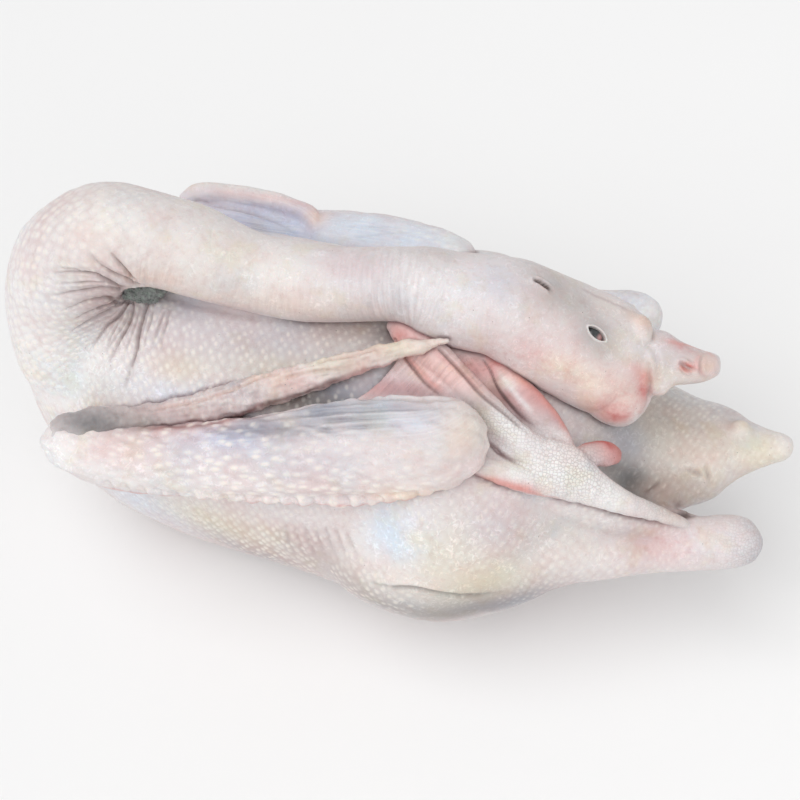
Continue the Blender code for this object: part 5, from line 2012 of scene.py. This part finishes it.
def make_near_foot(relief):
    """Shank, palm, toes and webs of the near foot."""
    webs = [
        web_sheet("inner_web", NEAR_MIDDLE_TOE[1:], NEAR_INNER_TOE[1:], (0.0, 0.6, -0.4), 0.0, 1.0, 1.9),
        web_sheet("outer_web", NEAR_MIDDLE_TOE[2:8], OUTER_WEB_EDGE, (0, 0, 0), 0.0, 1.0, 1.9),
    ]
    limbs = [
        limb(NEAR_SHANK, roll=50, sides=32),
        limb(toe(NEAR_MIDDLE_TOE, [0.6, 1.3, 1.35, 1.2, 1.15, 1.2, 1.35, 1.3, 1.1]), sides=32),
        limb(toe(NEAR_INNER_TOE, [0.8, 0.9, 1.1, 1.25, 1.2, 1.0, 0.8, 0.6]), sides=32),
        limb(toe(NEAR_OUTER_TOE, [0.5, 1.1, 1.0, 0.95, 0.8]), sides=32),
        limb(toe(NEAR_HIND_TOE, [0.8, 1.1, 1.2, 0.75]), sides=24),
    ]
    foot = Skin("near_foot_skin", limbs, 0.62, 3, webs)
    foot.push(0.15 * lumps(foot.points, 7, 51))
    foot.write()
    foot.furrows(FOOT_FOLDS)
    foot.write()
    tint = foot.paint("skin", FOOT_TINTS)
    foot.traces(tint, FOOT_TRACES)
    foot.finish(tint, start=0.7, **FOOT_MARKS)
    return dress(foot.thing, relief, "foot_skin", depth=0.16, rough=0.5, glow=0.10)


FAR_SHANK = [
    (106, 67, 90, 5.6, 5.6, 5.6),
    (90, 64, 98, 5.6, 5.1, 5.1),
    (72, 59, 107, 6.6, 5.6, 5.6),
    (56, 54, 116, 10, 5.6, 5.6),
    (44, 50, 122, 12, 5.6, 5.6),
]
FAR_MIDDLE_TOE = [(46, 50, 121), (30, 44, 129), (14, 38, 136), (-2, 33, 141), (-18, 27, 144), (-30, 23, 145)]
FAR_INNER_TOE = [(48, 46, 123), (36, 36, 132), (22, 28, 139), (8, 22, 144), (3, 20, 145.5)]
FAR_FOOT_TINTS = [
    ((55, 55, 120), (20, 14, 12), "white", 0.8),
    ((5, 36, 142), (26, 12, 10), "salmon", 0.6),
    ((20, 30, 141), (16, 8, 8), "rose", 0.5),
]
FAR_FOOT_MARKS = {
    "scales": [((60, 55, 116), (40, 20, 24), 0.95)],
    "rings": [((0, 33, 142), (32, 14, 12), 0.8)],
}


def make_far_foot(relief):
    """The far foot, drawn forward beside the neck."""
    limbs = [
        limb(FAR_SHANK, roll=-50, sides=28),
        limb(toe(FAR_MIDDLE_TOE, [1.3, 1.2, 1.1, 1.1, 1.0, 0.6], -45), sides=28),
        limb(toe(FAR_INNER_TOE, [1.1, 1.1, 1.0, 0.8, 0.4], -45), sides=28),
    ]
    webs = [web_sheet("far_web", FAR_MIDDLE_TOE, FAR_INNER_TOE[:4], (0, -1, -2), 0.0, 0.9, 2.2)]
    foot = Skin("far_foot_skin", limbs, 0.9, 3, webs)
    foot.push(0.15 * lumps(foot.points, 7, 61))
    foot.write()
    foot.finish(foot.paint("skin", FAR_FOOT_TINTS), start=0.8, **FAR_FOOT_MARKS)
    return dress(foot.thing, relief, "far_foot_finish", depth=0.14, rough=0.5, glow=0.10)


# The scene


def aim(thing, target):
    """Turns a camera or a lamp to look at a place."""
    direction = Vector(target) - thing.location
    thing.rotation_mode = "QUATERNION"
    thing.rotation_quaternion = direction.to_track_quat("-Z", "Y")


def add_camera():
    """The camera at the photograph's viewing angle."""
    data = bpy.data.cameras.new("camera")
    data.sensor_width = SENSOR
    data.lens = VIEW_DISTANCE * (SENSOR / FRAME_PIXELS) / VIEW_SCALE
    camera = bpy.data.objects.new("camera", data)
    bpy.context.scene.collection.objects.link(camera)
    camera.location = Vector(VIEW_TARGET) + Vector(sight()) * VIEW_DISTANCE
    aim(camera, VIEW_TARGET)
    bpy.context.scene.camera = camera


def add_lamp(name, place, size, watts):
    """A square soft lamp that looks at the bird."""
    data = bpy.data.lights.new(name, "AREA")
    data.size = size
    data.energy = watts
    lamp = bpy.data.objects.new(name, data)
    bpy.context.scene.collection.objects.link(lamp)
    lamp.location = place
    aim(lamp, VIEW_TARGET)


def add_sun():
    """A wide, soft sun from above and a little to the left."""
    data = bpy.data.lights.new("key", "SUN")
    data.angle = math.radians(70)
    data.energy = 1.55
    lamp = bpy.data.objects.new("key", data)
    bpy.context.scene.collection.objects.link(lamp)
    lamp.location = (-0.5, -0.55, 1.2)
    aim(lamp, VIEW_TARGET)


def add_studio():
    """Pale floor, a soft sun, a fill lamp and an even sky."""
    half = 3.0
    corners = [(-half, -half, 0), (half, -half, 0), (half, half, 0), (-half, half, 0)]
    floor = own_mesh("floor", corners, [(0, 1, 2, 3)])
    floor.data.materials.append(floor_material())
    add_sun()
    add_lamp("fill", (0.9, -0.80, 0.7), size=1.0, watts=2.0)
    world = bpy.data.worlds.new("studio")
    bpy.context.scene.world = world
    world.use_nodes = True
    sky = world.node_tree.nodes["Background"]
    sky.inputs["Color"].default_value = (1.0, 1.0, 1.0, 1.0)
    sky.inputs["Strength"].default_value = 0.56
    bpy.context.scene.view_settings.view_transform = "Standard"


def paint_contact_shade(pieces):
    """Paints shade into the skin's tint where another piece lies close to it."""
    boxes, trees = [], []
    for piece in pieces:
        mesh = piece.data
        flat = np.empty(len(mesh.vertices) * 3)
        mesh.vertices.foreach_get("co", flat)
        points = flat.reshape(-1, 3)
        boxes.append((points, points.min(0), points.max(0)))
        faces = [tuple(face.vertices) for face in mesh.polygons]
        trees.append(bvhtree.BVHTree.FromPolygons(points.tolist(), faces))
    for i, piece in enumerate(pieces):
        layer = piece.data.attributes.get("tint")
        if layer is None:
            continue
        points = boxes[i][0]
        shade = np.zeros(len(points))
        for j, tree in enumerate(trees):
            if j == i or pieces[j].name == "near_eye":
                continue
            low, high = boxes[j][1] - CONTACT_SHADE_LIMIT, boxes[j][2] + CONTACT_SHADE_LIMIT
            close = ((points > low) & (points < high)).all(1)
            keep = np.ones(len(points))
            for one, other, clear, full in JOINS:
                if {piece.name, pieces[j].name} == {one, other}:
                    keep = ((points[:, 0] / MM - clear) / (full - clear)).clip(0, 1)
            for k in np.flatnonzero(close & (keep > 0)):
                away = tree.find_nearest(points[k], CONTACT_SHADE_LIMIT)[3]
                if away is not None:
                    here = math.exp(-((away / (CONTACT_SHADE_REACH * MM)) ** 2)) * keep[k]
                    shade[k] = max(shade[k], here)
        flat = np.empty(len(points) * 4)
        layer.data.foreach_get("color", flat)
        colour = flat.reshape(-1, 4)
        colour[:, :3] *= 1 - shade[:, None] * np.array(CONTACT_SHADE_LOSS)
        layer.data.foreach_set("color", colour.ravel())


def smooth_faces(thing):
    """Shades a piece round."""
    thing.data.polygons.foreach_set("use_smooth", [True] * len(thing.data.polygons))
    thing.data.update()


def place_piece(thing):
    """Shades a finished piece round, says what it rides on and hides the imported solid."""
    smooth_faces(thing)
    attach(thing, "root")
    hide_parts("goose")


def main():
    """Builds the dressed goose round its frame."""
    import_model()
    add_camera()
    add_studio()
    relief = skin_relief_tree()
    body = dress(make_body(), relief, "body_skin", height=0.20, depth=0.05)
    head, outward = make_neck_and_head()
    head = dress(head, relief, "neck_skin", height=0.12, rough=0.44)
    pieces = [body, head, make_eye(outward)]
    pieces.append(run_tree(make_grit(), crumbs_tree(), dirt_material(), Gap=0.8, Grain=0.5))
    pieces += [make_near_wing(relief), make_near_hand(relief), make_far_wing(relief)]
    pieces += [make_near_foot(relief), make_far_foot(relief)]
    # painted shade where the pieces touch
    paint_contact_shade(pieces)
    for piece in pieces:
        place_piece(piece)


main()
